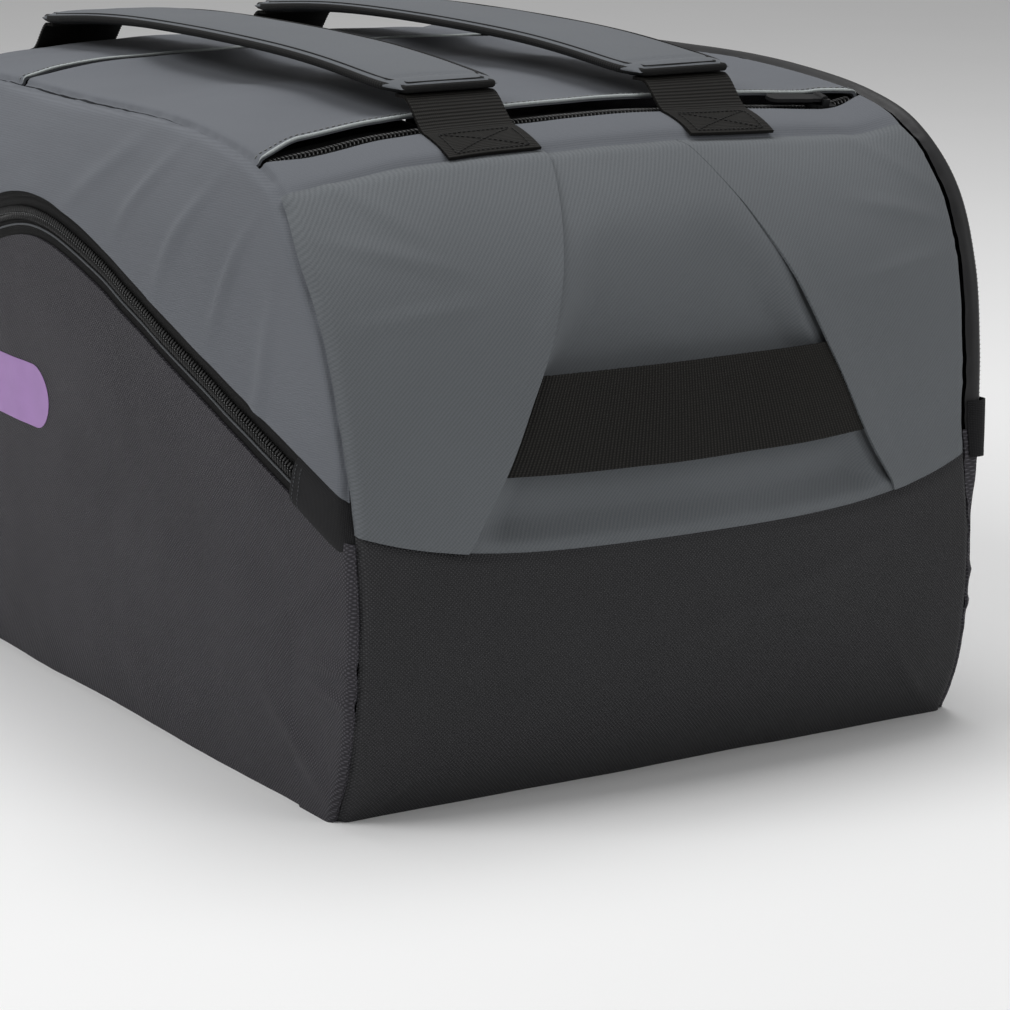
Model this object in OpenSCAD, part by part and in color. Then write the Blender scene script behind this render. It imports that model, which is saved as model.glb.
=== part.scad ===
// Soft skate bag: charcoal coated-fabric base and doors, grey woven upper, two padded
// carrying straps on top and a webbing grab handle on each end.
// +X points to one end, -Y to the side with the arched skate door, +Z up.
// The origin is the middle of the base, on the ground.

/* [Body] */
// Length between the two end seams at their widest
body_l = 610; // [500:2:760]
// Width between the two side seams at their widest
body_w = 372; // [310:2:460]
// Height of the seam along the top
body_h = 315; // [255:1:390]
// Height of the charcoal lower band at the corners
belt_h = 141; // [115:1:170]
// How far the lower band dips in the middle of an end
belt_dip = 17; // [0:1:25]
// Outward swell of a filled end
end_swell = 20; // [6:1:28]
// Outward swell of a side
side_swell = 12; // [4:1:16]
// Thickness of a padded fabric panel
wall = 3; // [2:0.5:5]
// Gap left at a seam between two panels
seam_gap = 0.5; // [0.3:0.1:1]
// Thickness of the base board that lies inside
board_t = 2; // [1:0.5:4]
// Distance of the inner divider from the bag's middle plane
divider_y = 58; // [30:1:90]

/* [Doors and zips] */
// Height of the line about which both doors fold down, above the lower band's corners
hinge_rise = 1; // [0:0.5:6]
// Gap at that line between a side wall and its door
fold_gap = 1; // [0.5:0.1:2]
// Depth of the arched zip below the top seam, where it is highest
arch_drop = 64; // [50:1:90]
// Height of the arched zip above the fold line, where it ends
arch_foot = 3.5; // [2:0.5:12]
// Distance from the end of the bag to where the arched zip ends
arch_trim = 14; // [10:1:24]
// How gently the arch turns over at its top
arch_turn = 50; // [20:1:90]
// Width of one zip half, tape and coil together
zip_half = 13; // [9:0.5:16]
// Width of one coil
coil_w = 4.2; // [3:0.1:6]
// Height of a coil above the back of its tape
coil_h = 2.6; // [2:0.1:4]
// Thickness of the zip tape
tape_t = 1.2; // [0.8:0.1:2]
// Distance from where the arched door would run out to where it is cut free
door_trim = 14; // [8:1:40]
// Height above the hinge line where the long door is cut free
long_trim = 40; // [30:1:60]
// Distance of the front top zip from the top seam of the end
front_zip_in = 32.5; // [26:0.5:60]
// Distance of the rear top zip behind the bag's middle
rear_zip_x = 67; // [40:1:110]
// Width of the slot that a top zip lies in
top_slot = 18; // [17:0.5:24]
// Width of the facing tape between an end seam and the long zip
facing = 13; // [8:0.5:18]

/* [Sliders] */
// Length of a slider along its zip
slider_l = 14; // [10:1:20]
// Width of a slider across its zip
slider_w = 11; // [9:0.5:14]
// Thickness of a slider's plate
slider_t = 1.6; // [1:0.1:2.5]
// Clear height between a coil and the slider plate above it
slider_clear = 0.9; // [0.6:0.1:1.5]
// Diameter of the bar that a puller swings on
bar_d = 2; // [1.6:0.1:3]
// Length of a puller from its bar to its tip
pull_l = 34; // [20:1:50]
// Width of a puller
pull_w = 8; // [5:0.5:12]
// Thickness of a puller
pull_t = 1.8; // [1.2:0.1:3]
// Clearance between a puller's eye and its bar
eye_clear = 0.3; // [0.2:0.05:0.6]
// Straight travel of the slider on the arched zip
arch_run = 120; // [80:1:140]
// Rise of the slider on the long zip
long_run = 50; // [30:1:60]
// Travel of the slider on a top zip
top_run = 45; // [30:1:60]
// Distance of a parked top slider from the middle of the side seam
top_park_in = 38; // [30:1:60]

/* [Handles and straps] */
// Width of the black webbing
web_w = 50; // [38:1:60]
// Thickness of the black webbing
web_t = 2.2; // [1.5:0.1:3.5]
// Height of the middle of a grab handle above the lower band's corners
handle_rise = 42; // [34:1:52]
// Half the height of a grab handle's webbing
handle_half = 22; // [18:0.5:28]
// Half length of the handle's upper edge between its seams
handle_top = 88; // [70:1:110]
// Half length of the handle's lower edge between its seams
handle_bottom = 112; // [80:1:130]
// Half width of the recessed insert where its folds fade out
insert_top = 53; // [40:1:70]
// Distance of the insert's upper end below the top seam
insert_drop = 48; // [38:1:60]
// Depth of the recess behind the grab handle
recess = 13; // [9:0.5:18]
// Clearance on each face of a grab handle where it lies under the wings
web_clear = 0.5; // [0.3:0.1:1]
// Distance of each carrying strap from the middle plane
strap_y = 68; // [50:1:90]
// Width of the padded strap
strap_w = 60; // [50:1:75]
// Thickness of the padded strap
strap_t = 8; // [5:0.5:12]
// Length along the bag of the webbing between a strap and its sewn end
web_run = 39.5; // [30:0.5:60]
// Distance of the webbing's sewn end from the top seam of the end
web_sewn = 2; // [0:0.5:6]
// Height of the padded strap's underside above the top seam
strap_rise = 9; // [7:0.5:14]
// Distance of the webbing's sewn end above the panel below it
anchor_gap = 1.2; // [0.8:0.1:3]

/* [Hidden] */
half_l = body_l / 2;
half_w = body_w / 2;
hinge_h = belt_h + hinge_rise;
arch_h = body_h - arch_drop;
handle_z = belt_h + handle_rise;
eps = 0.01;

// The end seam, from the base to the middle of the top:
// along, across, up, and the share of the end's swell there.
mid_lo = belt_h + 9;
mid_hi = body_h - 50;
SEAM = [
    [half_l - 20, half_w - 6, 0, 0],
    [half_l - 7, half_w - 6, 0.22 * belt_h, 0.4],
    [half_l, half_w - 7, 0.55 * belt_h, 0.65],
    [half_l - 1, half_w - 8, 0.82 * belt_h, 0.85],
    [half_l - 6, half_w - 8, mid_lo, 0.95],
    [half_l - 11, half_w - 5, mid_lo + 0.35 * (mid_hi - mid_lo), 1],
    [half_l - 20, half_w - 2, mid_lo + 0.7 * (mid_hi - mid_lo), 1],
    [half_l - 38, half_w, mid_hi, 0.85],
    [half_l - 65, half_w - 5, body_h - 23, 0.6],
    [half_l - 100, half_w - 9, body_h - 10, 0.4],
    [half_l - 150, half_w - 12, body_h - 3, 0.25],
    [half_l - 210, half_w - 14, body_h, 0.2],
    [0, half_w - 16, body_h - 1, 0.15]];
last = len(SEAM) - 1;
full = 2 * last;
top_seam = 8;

function flip(p) = [-p[0], p[1], p[2], p[3]];
function knot(k) = k < 0 ? 2 * SEAM[0] - SEAM[1] : k > last ? flip(SEAM[full - k]) : SEAM[k];
function bend(a, b, c, d, u) =
    0.5 * (2 * b + (c - a) * u + (2 * a - 5 * b + 4 * c - d) * u * u
        + (3 * b - a - 3 * c + d) * u * u * u);
function half_seam(t) =
    let (i = min(floor(t), last - 1))
    bend(knot(i - 1), knot(i), knot(i + 1), knot(i + 2), t - i);
// A point of the whole seam: 0 is the base at +X, full is the base at -X.
function seam(t) = t <= last ? half_seam(t) : flip(half_seam(full - t));
// The outward direction of the seam's curve in the plane of the side.
function seam_out(t) =
    let (a = seam(max(t - 0.02, 0)), b = seam(min(t + 0.02, full)), d = [b[0] - a[0], b[2] - a[2]])
    [d[1], -d[0]] / norm(d);

// Where the seam passes a height, between the base and the crest.
function at_height(z, lo = 0, hi = 11, n = 18) =
    n == 0 ? (lo + hi) / 2 :
    let (m = (lo + hi) / 2)
    seam(m)[2] < z ? at_height(z, m, hi, n - 1) : at_height(z, lo, m, n - 1);
// Where the seam passes a distance along the bag, over the top.
function at_length(x, lo = 3, hi = full - 3, n = 18) =
    n == 0 ? (lo + hi) / 2 :
    let (m = (lo + hi) / 2)
    seam(m)[0] > x ? at_length(x, m, hi, n - 1) : at_length(x, lo, m, n - 1);

// A point on the end and top surface: t along the seam, v from -1 to 1 across, d inwards.
function shell_pt(t, v, d) =
    let (p = seam(t), o = seam_out(t), k = end_swell * p[3] * (1 - v * v) - d)
    [p[0] + k * o[0], v * (p[1] - wall - seam_gap), p[2] + k * o[1]];
// The outermost distance of a side from the middle plane.
function side_y(x, z) =
    let (p = seam(at_height(min(z, body_h))), u = min(abs(x) / p[0], 1), w = 2 * z / body_h - 1)
    p[1] + side_swell * (1 - u * u) * (1 - pow(w, 4));
function side_pt(x, z, d, s) = [x, s * (side_y(x, z) - d), z];

function belt_z(v) = belt_h - belt_dip * (1 - pow(v, 4));
// The arch: a hyperbola whose flanks come down to the fold line at the ends of the bag.
arch_end = half_l - arch_trim;
arch_slope = (arch_h - hinge_h - arch_foot) / (norm([arch_end, arch_turn]) - arch_turn);
function arch_z(x) = arch_h - arch_slope * (norm([x, arch_turn]) - arch_turn);
function arch_x(z) = let (r = arch_turn + (arch_h - z) / arch_slope) sqrt(r * r - arch_turn * arch_turn);
function arch_out(x) =
    let (g = -arch_slope * x / norm([x, arch_turn])) [-g, 1] / norm([-g, 1]);
function arch_off(x, e) = [x, arch_z(x)] + e * arch_out(x);
function mix(a, b, u) = a + (b - a) * u;
function ramp(u) = let (c = min(max(u, 0), 1)) c * c * (3 - 2 * c);

// A closed thin solid from an outer and an inner grid of points. Seen from outside, the
// rows run one way and the columns a quarter turn anticlockwise from them.
module skin(outer, inner) {
    n = len(outer);
    m = len(outer[0]);
    s = n * m;
    function a(i, j) = i * m + j;
    pts = concat([for (r = outer) each r], [for (r = inner) each r]);
    face = [for (i = [0:n - 2], j = [0:m - 2])
        each [[a(i, j), a(i, j + 1), a(i + 1, j + 1)], [a(i, j), a(i + 1, j + 1), a(i + 1, j)]]];
    back = [for (f = face) [f[0] + s, f[2] + s, f[1] + s]];
    edge = concat(
        [for (i = [0:n - 2]) [a(i, 0), a(i + 1, 0)]],
        [for (j = [0:m - 2]) [a(n - 1, j), a(n - 1, j + 1)]],
        [for (i = [n - 1:-1:1]) [a(i, m - 1), a(i - 1, m - 1)]],
        [for (j = [m - 1:-1:1]) [a(0, j), a(0, j - 1)]]);
    rim = [for (e = edge) each [[e[0], e[1], e[1] + s], [e[0], e[1] + s, e[0] + s]]];
    polyhedron(pts, concat(face, back, rim), convexity = 6);
}

// A solid swept through a list of equal rings, each ring anticlockwise when seen from
// the side that the rings run towards.
module sweep(rings) {
    n = len(rings);
    m = len(rings[0]);
    pts = [for (r = rings) each r];
    side = [for (i = [0:n - 2], j = [0:m - 1])
        let (k = (j + 1) % m)
        each [[i * m + j, (i + 1) * m + j, (i + 1) * m + k], [i * m + j, (i + 1) * m + k, i * m + k]]];
    caps = [[for (j = [0:m - 1]) j], [for (j = [m - 1:-1:0]) (n - 1) * m + j]];
    polyhedron(pts, concat(side, caps), convexity = 6);
}

// ---- ends ----

band_v = 18;
band_t = 9;
// Share of the swell by which the surface stands higher than the seam at the lower band.
swell_lift = 0.12;

// Where the lower band ends, as a place along the seam.
function belt_t(v, up) =
    let (b = swell_lift * end_swell * seam(at_height(belt_z(v)))[3] * (1 - v * v))
    at_height(belt_z(v) - b + up);

module end_band() {
    function grid(d) = [for (i = [0:band_v]) let (v = 2 * i / band_v - 1, top = belt_t(v, -seam_gap / 2))
        [for (j = [0:band_t]) shell_pt(top * j / band_t, v, d)]];
    color("#333236") skin(grid(0), grid(wall));
}

insert_hi = body_h - insert_drop;
insert_knee = handle_z + handle_half;
function insert_half(z) =
    z > insert_knee
    ? mix(handle_top, insert_top, (z - insert_knee) / (insert_hi - insert_knee))
    : handle_top + (handle_bottom - handle_top) * (insert_knee - z) / (2 * handle_half);

// The upper end panel runs round the recessed insert in one arch: up one wing, across
// the top and down the other.
wing_n = 12;
yoke_n = 10;
panel_n = 5;
// How far the inner edges of the wings start below the lower band's corners.
wing_drop = 10;
// How far the panel stops short of its top seam, as a share of the seam's next stretch.
seam_stop = 0.02;
function panel_in(k) =
    k <= wing_n ? let (z = mix(belt_h - wing_drop, insert_hi, k / wing_n)) [-insert_half(z), z] :
    k <= wing_n + yoke_n ? [mix(-insert_top, insert_top, (k - wing_n) / yoke_n), insert_hi] :
    let (p = panel_in(2 * wing_n + yoke_n - k)) [-p[0], p[1]];
function panel_edge(k) =
    let (hi = top_seam - seam_stop, lo = belt_t(1, seam_gap / 2))
    k <= wing_n ? [-1, mix(lo, hi, k / wing_n)] :
    k <= wing_n + yoke_n ? [mix(-1, 1, (k - wing_n) / yoke_n), hi] :
    [1, mix(lo, hi, (2 * wing_n + yoke_n - k) / wing_n)];
module end_panel() {
    count = 2 * wing_n + yoke_n;
    function pt(k, j, d) =
        let (a = panel_in(k), w = seam(at_height(a[1]))[1] - wall - seam_gap,
             lift = (k == 0 || k == count) ? belt_t(a[0] / w, seam_gap / 2) : at_height(a[1]),
             b = panel_edge(k), q = [mix(a[0] / w, b[0], j / panel_n), mix(lift, b[1], j / panel_n)],
             foot = (k == 0 || k == count) ? belt_t(q[0], seam_gap / 2) : q[1])
        shell_pt(foot, q[0], d);
    function grid(d) = [for (k = [0:count]) [for (j = [panel_n:-1:0]) pt(k, j, d)]];
    color("#62666b") skin(grid(wall), grid(0));
}

// How far the insert and the handle run on under the wings, and the insert under the yoke.
tuck = 5;
yoke_tuck = 4;
insert_n = 10;
insert_m = 12;
// The insert lies this far under the wings. It reaches its depth between its upper end and
// the handle, and over this height above the lower band.
under = wall + 1;
ease_hi = 0.65 * (insert_hi - insert_knee);
ease_lo = 22;
foot_share = 0.45;
function insert_depth(z, u) =
    let (deep = mix(recess, wall + web_t + 2 * web_clear, pow(abs(u), 4)),
         rise = ramp((insert_hi - z) / ease_hi),
         foot = mix(foot_share, 1, ramp((z - belt_h) / ease_lo)))
    max(mix(under, deep, rise) * (z < handle_z ? foot : 1), under);
module handle_insert() {
    lo_z = belt_h - belt_dip + 6;
    function pt(i, j, d) =
        let (u = 2 * i / insert_n - 1, z = mix(lo_z, insert_hi + yoke_tuck, j / insert_m),
             y = u * (insert_half(z) + tuck), v = y / (seam(at_height(z))[1] - wall - seam_gap),
             foot = j == 0 ? belt_t(v, seam_gap / 2) : max(at_height(z), belt_t(v, seam_gap / 2) + 0.05 * j))
        shell_pt(foot, v, insert_depth(min(z, insert_hi), u) + d);
    function grid(d) = [for (i = [0:insert_n]) [for (j = [0:insert_m]) pt(i, j, d)]];
    color("#5b5f64") skin(grid(0), grid(wall));
}

// The webbing lies flush with the panel in the middle and dives under the wings.
// It starts to dive at this share of its half length, and is under them this share later.
dive_at = 0.76;
dive_over = 0.12;
module grab_handle() {
    n = 16;
    function ring(i) =
        let (u = 2 * i / n - 1, hi = handle_z + handle_half, lo = handle_z - handle_half,
             d = mix(-1, wall + web_clear, ramp((abs(u) - dive_at) / dive_over)))
        [for (q = [[hi, 0], [lo, 0], [lo, 1], [hi, 1]])
            let (y = u * (insert_half(q[0]) + tuck - 1), v = y / (seam(at_height(q[0]))[1] - wall - seam_gap))
            shell_pt(at_height(q[0]), v, d + q[1] * web_t)];
    color("#1e1d1b") sweep([for (i = [0:n]) ring(i)]);
}

// ---- top ----

lip_h = 3;
lip_run = 18;
seam_x = SEAM[top_seam][0];
top_zip_x = seam_x - front_zip_in;
strip_x = top_zip_x + top_slot / 2;
cover_x = top_zip_x - top_slot / 2;

// A stretch of the top from one place along the bag to another. A lip lifts an edge of it.
module top_cover(from_x, to_x, lip_at, n) {
    t0 = at_length(from_x);
    t1 = at_length(to_x);
    function lip(u) =
        let (here = seam(mix(t0, t1, u))[0])
        lip_at * (2 - ramp((from_x - here) / lip_run) - ramp((here - to_x) / lip_run));
    function grid(d) = [for (i = [0:12]) let (v = i / 6 - 1)
        [for (j = [0:n]) shell_pt(mix(t0, t1, j / n), v, d - lip(j / n) * (1 - pow(v, 4)))]];
    skin(grid(0), grid(wall));
}

module top_strip() color("#62666b") top_cover(seam_x - seam_gap, strip_x, 0, 3);
module top_panel() color("#62666b") top_cover(cover_x, -rear_zip_x + top_slot / 2, lip_h, 14);
module rear_panel()
    color("#62666b") top_cover(-rear_zip_x - top_slot / 2, -seam_x + seam_gap, 0, 9);

// A bound edge: a thin round welt along the front or rear of the top panel.
module edge_binding(x, side) {
    t = at_length(x);
    r = 1.4;
    function ring(i) =
        let (v = 1.9 * i / 16 - 0.95, c = shell_pt(t, v, -lip_h * (1 - pow(v, 4)) + wall / 2))
        [for (a = [0:60:300]) c + [side * (r + 0.4) + r * cos(a), 0, -r * sin(a)]];
    color("#c8cdcd") sweep([for (i = [0:16]) ring(i)]);
}
module front_binding() edge_binding(cover_x, 1);
module rear_binding() edge_binding(-rear_zip_x + top_slot / 2, -1);

// Both halves of a closed top zip, lying in its slot under the edge of the top panel.
module top_zip(x) {
    t = at_length(x);
    n = 16;
    under = wall + 0.6;
    half = top_slot / 2 + 4;
    function ring(i) =
        let (v = 1.94 * i / n - 0.97, c = shell_pt(t, v, under), o = seam_out(t), a = [-o[1], 0, o[0]])
        [for (q = [[half, -tape_t], [half, 0], [coil_w, 0], [coil_w, coil_h - tape_t],
                   [-coil_w, coil_h - tape_t], [-coil_w, 0], [-half, 0], [-half, -tape_t]])
            c + q[0] * a + q[1] * [o[0], 0, o[1]]];
    color("#191919") sweep([for (i = [n:-1:0]) ring(i)]);
}
module top_zip_front() top_zip(top_zip_x);
module top_zip_rear() top_zip(-rear_zip_x);

// ---- sides ----

module side_wall(s) {
    n = 18;
    m = 8;
    hi = hinge_h - fold_gap;
    function grid(d) = [for (i = [0:n]) [for (j = [0:m])
        let (z = hi * j / m, x = seam(at_height(z))[0] - seam_gap) side_pt(x * (2 * i / n - 1), z, d, s)]];
    color("#3d3b40") if (s < 0) skin(grid(0), grid(wall)); else skin(grid(wall), grid(0));
}
module side_wall_near() side_wall(-1);
module side_wall_far() side_wall(1);

module side_panel() {
    n = 36;
    m = 5;
    off = zip_half + seam_gap;
    reach = arch_end - off * arch_out(arch_end)[0];
    function grid(d) = [for (i = [0:n]) [for (j = [0:m])
        let (x = reach * (2 * i / n - 1), p = arch_off(x, off), q = seam(at_length(x)))
        side_pt(mix(p[0], q[0], j / m), mix(p[1], q[2] - seam_gap, j / m), d, -1)]];
    color("#676a71") skin(grid(0), grid(wall));
}

door_x = arch_x(hinge_h + fold_gap + zip_half + seam_gap) - door_trim;
module door_near() {
    n = 28;
    m = 5;
    function grid(d) = [for (i = [0:n]) [for (j = [0:m])
        let (x = door_x * (2 * i / n - 1), p = arch_off(x, -zip_half - seam_gap))
        side_pt(mix(x, p[0], j / m), mix(hinge_h + fold_gap, p[1], j / m), d, -1)]];
    color("#3d3b40") skin(grid(0), grid(wall));
}

// Half of a zip that follows a path on a side; out is the tape's side of the coil.
function zip_ring(c, a, s, out) =
    let (lie = [for (q = [[0.2, 0], [zip_half, 0], [zip_half, tape_t], [coil_w, tape_t], [coil_w, coil_h],
                          [0.2, coil_h]]) c + out * q[0] * [a[0], 0, a[1]] + [0, s * q[1], 0]])
    out * s > 0 ? lie : [for (k = [len(lie) - 1:-1:0]) lie[k]];
function arch_path(from_x, to_x, n, out) =
    [for (i = [0:n]) let (x = mix(from_x, to_x, i / n), p = arch_off(x, 0), a = arch_out(x))
        zip_ring([p[0], -side_y(p[0], p[1]) + wall - 0.4, p[1]], a, -1, out)];
module arch_zip_fixed() color("#191919") sweep(arch_path(-arch_end, arch_end, 40, 1));
module arch_zip_door() color("#191919") sweep(arch_path(-door_x, door_x, 36, -1));

// A stitched tab at each end of the arched zip, and its clearance from the zip.
tab_clear = 1.2;
module arch_tabs() {
    function grid(d, m) = [for (i = [0:4]) [for (j = [0:3])
        let (x = m * mix(door_x + seam_gap, arch_end, i / 4), p = arch_off(x, -tab_clear))
        side_pt(x, mix(hinge_h + fold_gap, max(p[1], hinge_h + fold_gap + 3), j / 3), d, -1)]];
    color("#232326") {
        skin(grid(0.2, 1), grid(wall - 0.8, 1));
        skin(grid(wall - 0.8, -1), grid(0.2, -1));
    }
}

// The long door on the other side follows the end seams all the way over the top.
long_lo = at_height(hinge_h + long_trim);
long_first = at_height(hinge_h + 4);
function inset(t, e) = let (p = seam(t), o = seam_out(t)) [p[0] - e * o[0], p[2] - e * o[1]];
function long_path(t0, n, e0, out) =
    [for (i = [0:n]) let (t = mix(t0, full - t0, i / n), p = inset(t, e0), o = seam_out(t))
        zip_ring([p[0], side_y(p[0], p[1]) - wall + 0.4, p[1]], o, 1, out)];
coil_in = facing + 0.5;
module long_zip_fixed() color("#191919") sweep(long_path(long_first, 56, coil_in, 1));
module long_zip_door() color("#191919") sweep(long_path(long_lo, 50, coil_in, -1));

module door_far() {
    n = 40;
    m = 6;
    edge = coil_in + zip_half + seam_gap;
    base_x = inset(long_lo, edge)[0];
    function grid(d) = [for (i = [0:n]) let (p = inset(mix(long_lo, full - long_lo, i / n), edge))
        [for (j = [0:m])
            side_pt(mix(mix(base_x, -base_x, i / n), p[0], j / m),
                mix(hinge_h + fold_gap, p[1], j / m), d, 1)]];
    color("#3d3b40") skin(grid(0), grid(wall));
}

// The long tabs stop this far below the door's half of the zip.
tab_stop = 1.5;
module long_tabs() {
    base_x = inset(long_lo, coil_in)[0];
    tab_hi = inset(long_lo, coil_in + zip_half)[1] - tab_stop;
    function grid(d, m) = [for (i = [0:3]) [for (j = [0:4])
        let (z = mix(hinge_h + fold_gap, tab_hi, j / 4),
             x1 = seam(at_height(z))[0] - coil_in - 0.6)
        side_pt(m * mix(base_x - zip_half + 1, x1, i / 3), z, d, 1)]];
    color("#232326") {
        skin(grid(wall - 0.8, 1), grid(0.2, 1));
        skin(grid(0.2, -1), grid(wall - 0.8, -1));
    }
}

// ---- inside and base ----

module base_panel() {
    x = half_l - 20 - wall - seam_gap;
    y = half_w - 6 - wall - seam_gap;
    color("#29282b") translate([-x, -y, 0]) cube([2 * x, 2 * y, wall]);
}
module base_board() {
    x = half_l - 34;
    y = half_w - 18;
    color("#1c1c1e") translate([-x, -y, wall]) cube([2 * x, 2 * y, board_t]);
}
module divider() {
    lift = wall + board_t;
    n = 60;
    rim = [for (i = [0:n]) let (t = mix(0.6, full - 0.6, i / n)) inset(t, wall + coil_h + 3)];
    color("#4b4d51") translate([0, -divider_y, 0]) rotate([90, 0, 0]) linear_extrude(wall)
        intersection() {
            polygon(rim);
            translate([-half_l, lift]) square([body_l, body_h]);
        }
}

// ---- sliders ----

plate_z = coil_h + slider_clear;
bar_z = plate_z + slider_t + bar_d / 2 + eye_clear + 1.2;
post = 1.6;

// A slider, lying with its travel along X and its outer face up.
module slider() {
    color("#2c2c2e") {
        translate([0, 0, plate_z]) linear_extrude(slider_t) {
            translate([-slider_l / 2 + 2, -slider_w / 2]) square([slider_l - 2, slider_w]);
            translate([-slider_l / 2 + 3, 0]) circle(d = slider_w * 0.86, $fn = 40);
        }
        for (m = [-1, 1])
            translate([-bar_d, m * (slider_w / 2 - post / 2) - post / 2, plate_z + slider_t - eps])
                cube([2 * bar_d, post, bar_z - plate_z - slider_t + bar_d / 2]);
        translate([0, slider_w / 2 - eps, bar_z]) rotate([90, 0, 0])
            cylinder(d = bar_d, h = slider_w - 2 * eps, $fn = 32);
    }
}
// Its puller, with an eye round the bar and a ribbed tab that lies along the zip.
module puller() {
    eye = bar_d + 2 * eye_clear;
    eye_w = slider_w - 2 * post - 0.8;
    color("#1b1b1c") difference() {
        union() {
            translate([0, eye_w / 2, bar_z]) rotate([90, 0, 0])
                cylinder(d = eye + 2, h = eye_w, $fn = 40);
            translate([-pull_l, 0, bar_z - pull_t / 2]) linear_extrude(pull_t) {
                translate([4, -pull_w / 2]) square([pull_l - 12, pull_w]);
                translate([4, 0]) circle(d = pull_w, $fn = 40);
                translate([pull_l - 9, -eye_w / 2]) square([9 - bar_d / 2 - 1, eye_w]);
            }
        }
        translate([0, slider_w, bar_z]) rotate([90, 0, 0]) cylinder(d = eye, h = 2 * slider_w, $fn = 40);
    }
}

// Places on the zips where the sliders rest, and the directions in which they run.
near_x = -(door_x + slider_l / 2 + 3);
near_a = arch_off(near_x, 0);
near_b = arch_off(near_x + arch_run / norm([1, arch_slope]), 0);
near_ya = side_y(near_a[0], near_a[1]) - wall + 0.4;
near_yb = side_y(near_b[0], near_b[1]) - wall + 0.4;
near_tilt = atan2(near_b[1] - near_a[1], near_b[0] - near_a[0]);
near_yaw = atan2(near_yb - near_ya, norm(near_b - near_a));
module at_near() translate([near_a[0], -near_ya, near_a[1]]) rotate([0, -near_tilt, 0])
    rotate([90, 0, -near_yaw]) children();

far_t = full - at_height(hinge_h + 18);
far_u = full - at_height(hinge_h + 18 + long_run);
far_a = inset(far_t, coil_in);
far_b = inset(far_u, coil_in);
far_ya = side_y(far_a[0], far_a[1]) - wall + 0.4;
far_yb = side_y(far_b[0], far_b[1]) - wall + 0.4;
far_tilt = atan2(far_b[1] - far_a[1], far_b[0] - far_a[0]);
far_yaw = atan2(far_yb - far_ya, norm(far_b - far_a));
module at_far() translate([far_a[0], far_ya, far_a[1]]) rotate([0, -far_tilt, 0])
    rotate([-90, 0, far_yaw]) children();

top_park = half_w - top_park_in;
function top_here(x, y) =
    let (t = at_length(x), v = y / (seam(t)[1] - wall - seam_gap), o = seam_out(t))
    shell_pt(t, v, wall + 0.6 + tape_t);
front_a = top_here(top_zip_x, top_park);
front_b = top_here(top_zip_x, top_park - top_run);
front_lean = seam_out(at_length(top_zip_x));
front_pitch = atan2(front_b[2] - front_a[2], top_run);
rear_a = top_here(-rear_zip_x, top_park);
rear_b = top_here(-rear_zip_x, top_park - top_run);
rear_pitch = atan2(rear_b[2] - rear_a[2], top_run);
module at_front() translate(front_a) rotate([0, atan2(front_lean[0], front_lean[1]), 0])
    rotate([-front_pitch, 0, 0]) rotate([0, 0, 90]) children();
module at_rear() translate(rear_a) rotate([-rear_pitch, 0, 0]) rotate([0, 0, 90]) children();

module slider_arch() at_near() slider();
module puller_arch() at_near() puller();
module slider_long() at_far() slider();
module puller_long() at_far() puller();
module slider_front() at_front() slider();
module puller_front() at_front() puller();
module slider_rear() at_rear() slider();
module puller_rear() at_rear() puller();

// ---- carrying straps ----

strap_z = body_h + strap_rise;
strap_v = strap_y / (seam(top_seam)[1] - wall - seam_gap);
sewn_at = shell_pt(top_seam, strap_v, 0);
web_end_x = sewn_at[0] - web_sewn;
strap_half = web_end_x - web_run;
web_end_z = sewn_at[2] + web_sewn + anchor_gap + web_t;
web_rise = atan2(strap_z + web_t - web_end_z, web_end_x - strap_half);
web_len = norm([strap_z + web_t - web_end_z, web_end_x - strap_half]);

// Half of a padded strap, from the middle of the bag to its webbing.
module strap_pad(y) {
    r = 7;
    w = strap_w / 2;
    color("#686b70") translate([0, y, strap_z]) linear_extrude(strap_t) {
        translate([0.4, -w]) square([strap_half - r - 0.4, strap_w]);
        translate([strap_half - r - eps, -w + r]) square([r, strap_w - 2 * r]);
        for (m = [-1, 1]) translate([strap_half - r, m * (w - r)]) circle(r, $fn = 40);
    }
}
// Webbing from under the strap's end down to the top seam of the end.
module strap_web(y) {
    color("#1e1d1b") translate([web_end_x, y, web_end_z]) rotate([0, web_rise, 0])
        translate([-web_len + 3, -web_w / 2, -web_t]) cube([web_len - 3, web_w, web_t]);
}
module strap_left_front() strap_pad(-strap_y);
module strap_right_front() strap_pad(strap_y);
module strap_left_rear() mirror([1, 0, 0]) strap_pad(-strap_y);
module strap_right_rear() mirror([1, 0, 0]) strap_pad(strap_y);
module web_left_front() strap_web(-strap_y);
module web_right_front() strap_web(strap_y);
module web_left_rear() mirror([1, 0, 0]) strap_web(-strap_y);
module web_right_rear() mirror([1, 0, 0]) strap_web(strap_y);

base_panel();
base_board();
divider();
end_band();  // end_band_front
mirror([1, 0, 0]) end_band();  // end_band_rear
end_panel();  // end_panel_front
mirror([1, 0, 0]) end_panel();  // end_panel_rear
handle_insert();  // handle_insert_front
mirror([1, 0, 0]) handle_insert();  // handle_insert_rear
grab_handle();  // grab_handle_front
mirror([1, 0, 0]) grab_handle();  // grab_handle_rear
top_strip();
top_panel();
rear_panel();
front_binding();
rear_binding();
top_zip_front();
top_zip_rear();
side_wall_near();
side_wall_far();
side_panel();
door_near();
arch_zip_fixed();
arch_zip_door();
arch_tabs();
door_far();
long_zip_fixed();
long_zip_door();
long_tabs();
slider_arch();
puller_arch();
slider_long();
puller_long();
slider_front();
puller_front();
slider_rear();
puller_rear();
strap_left_front();
strap_left_rear();
strap_right_front();
strap_right_rear();
web_left_front();
web_left_rear();
web_right_front();
web_right_rear();
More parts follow.
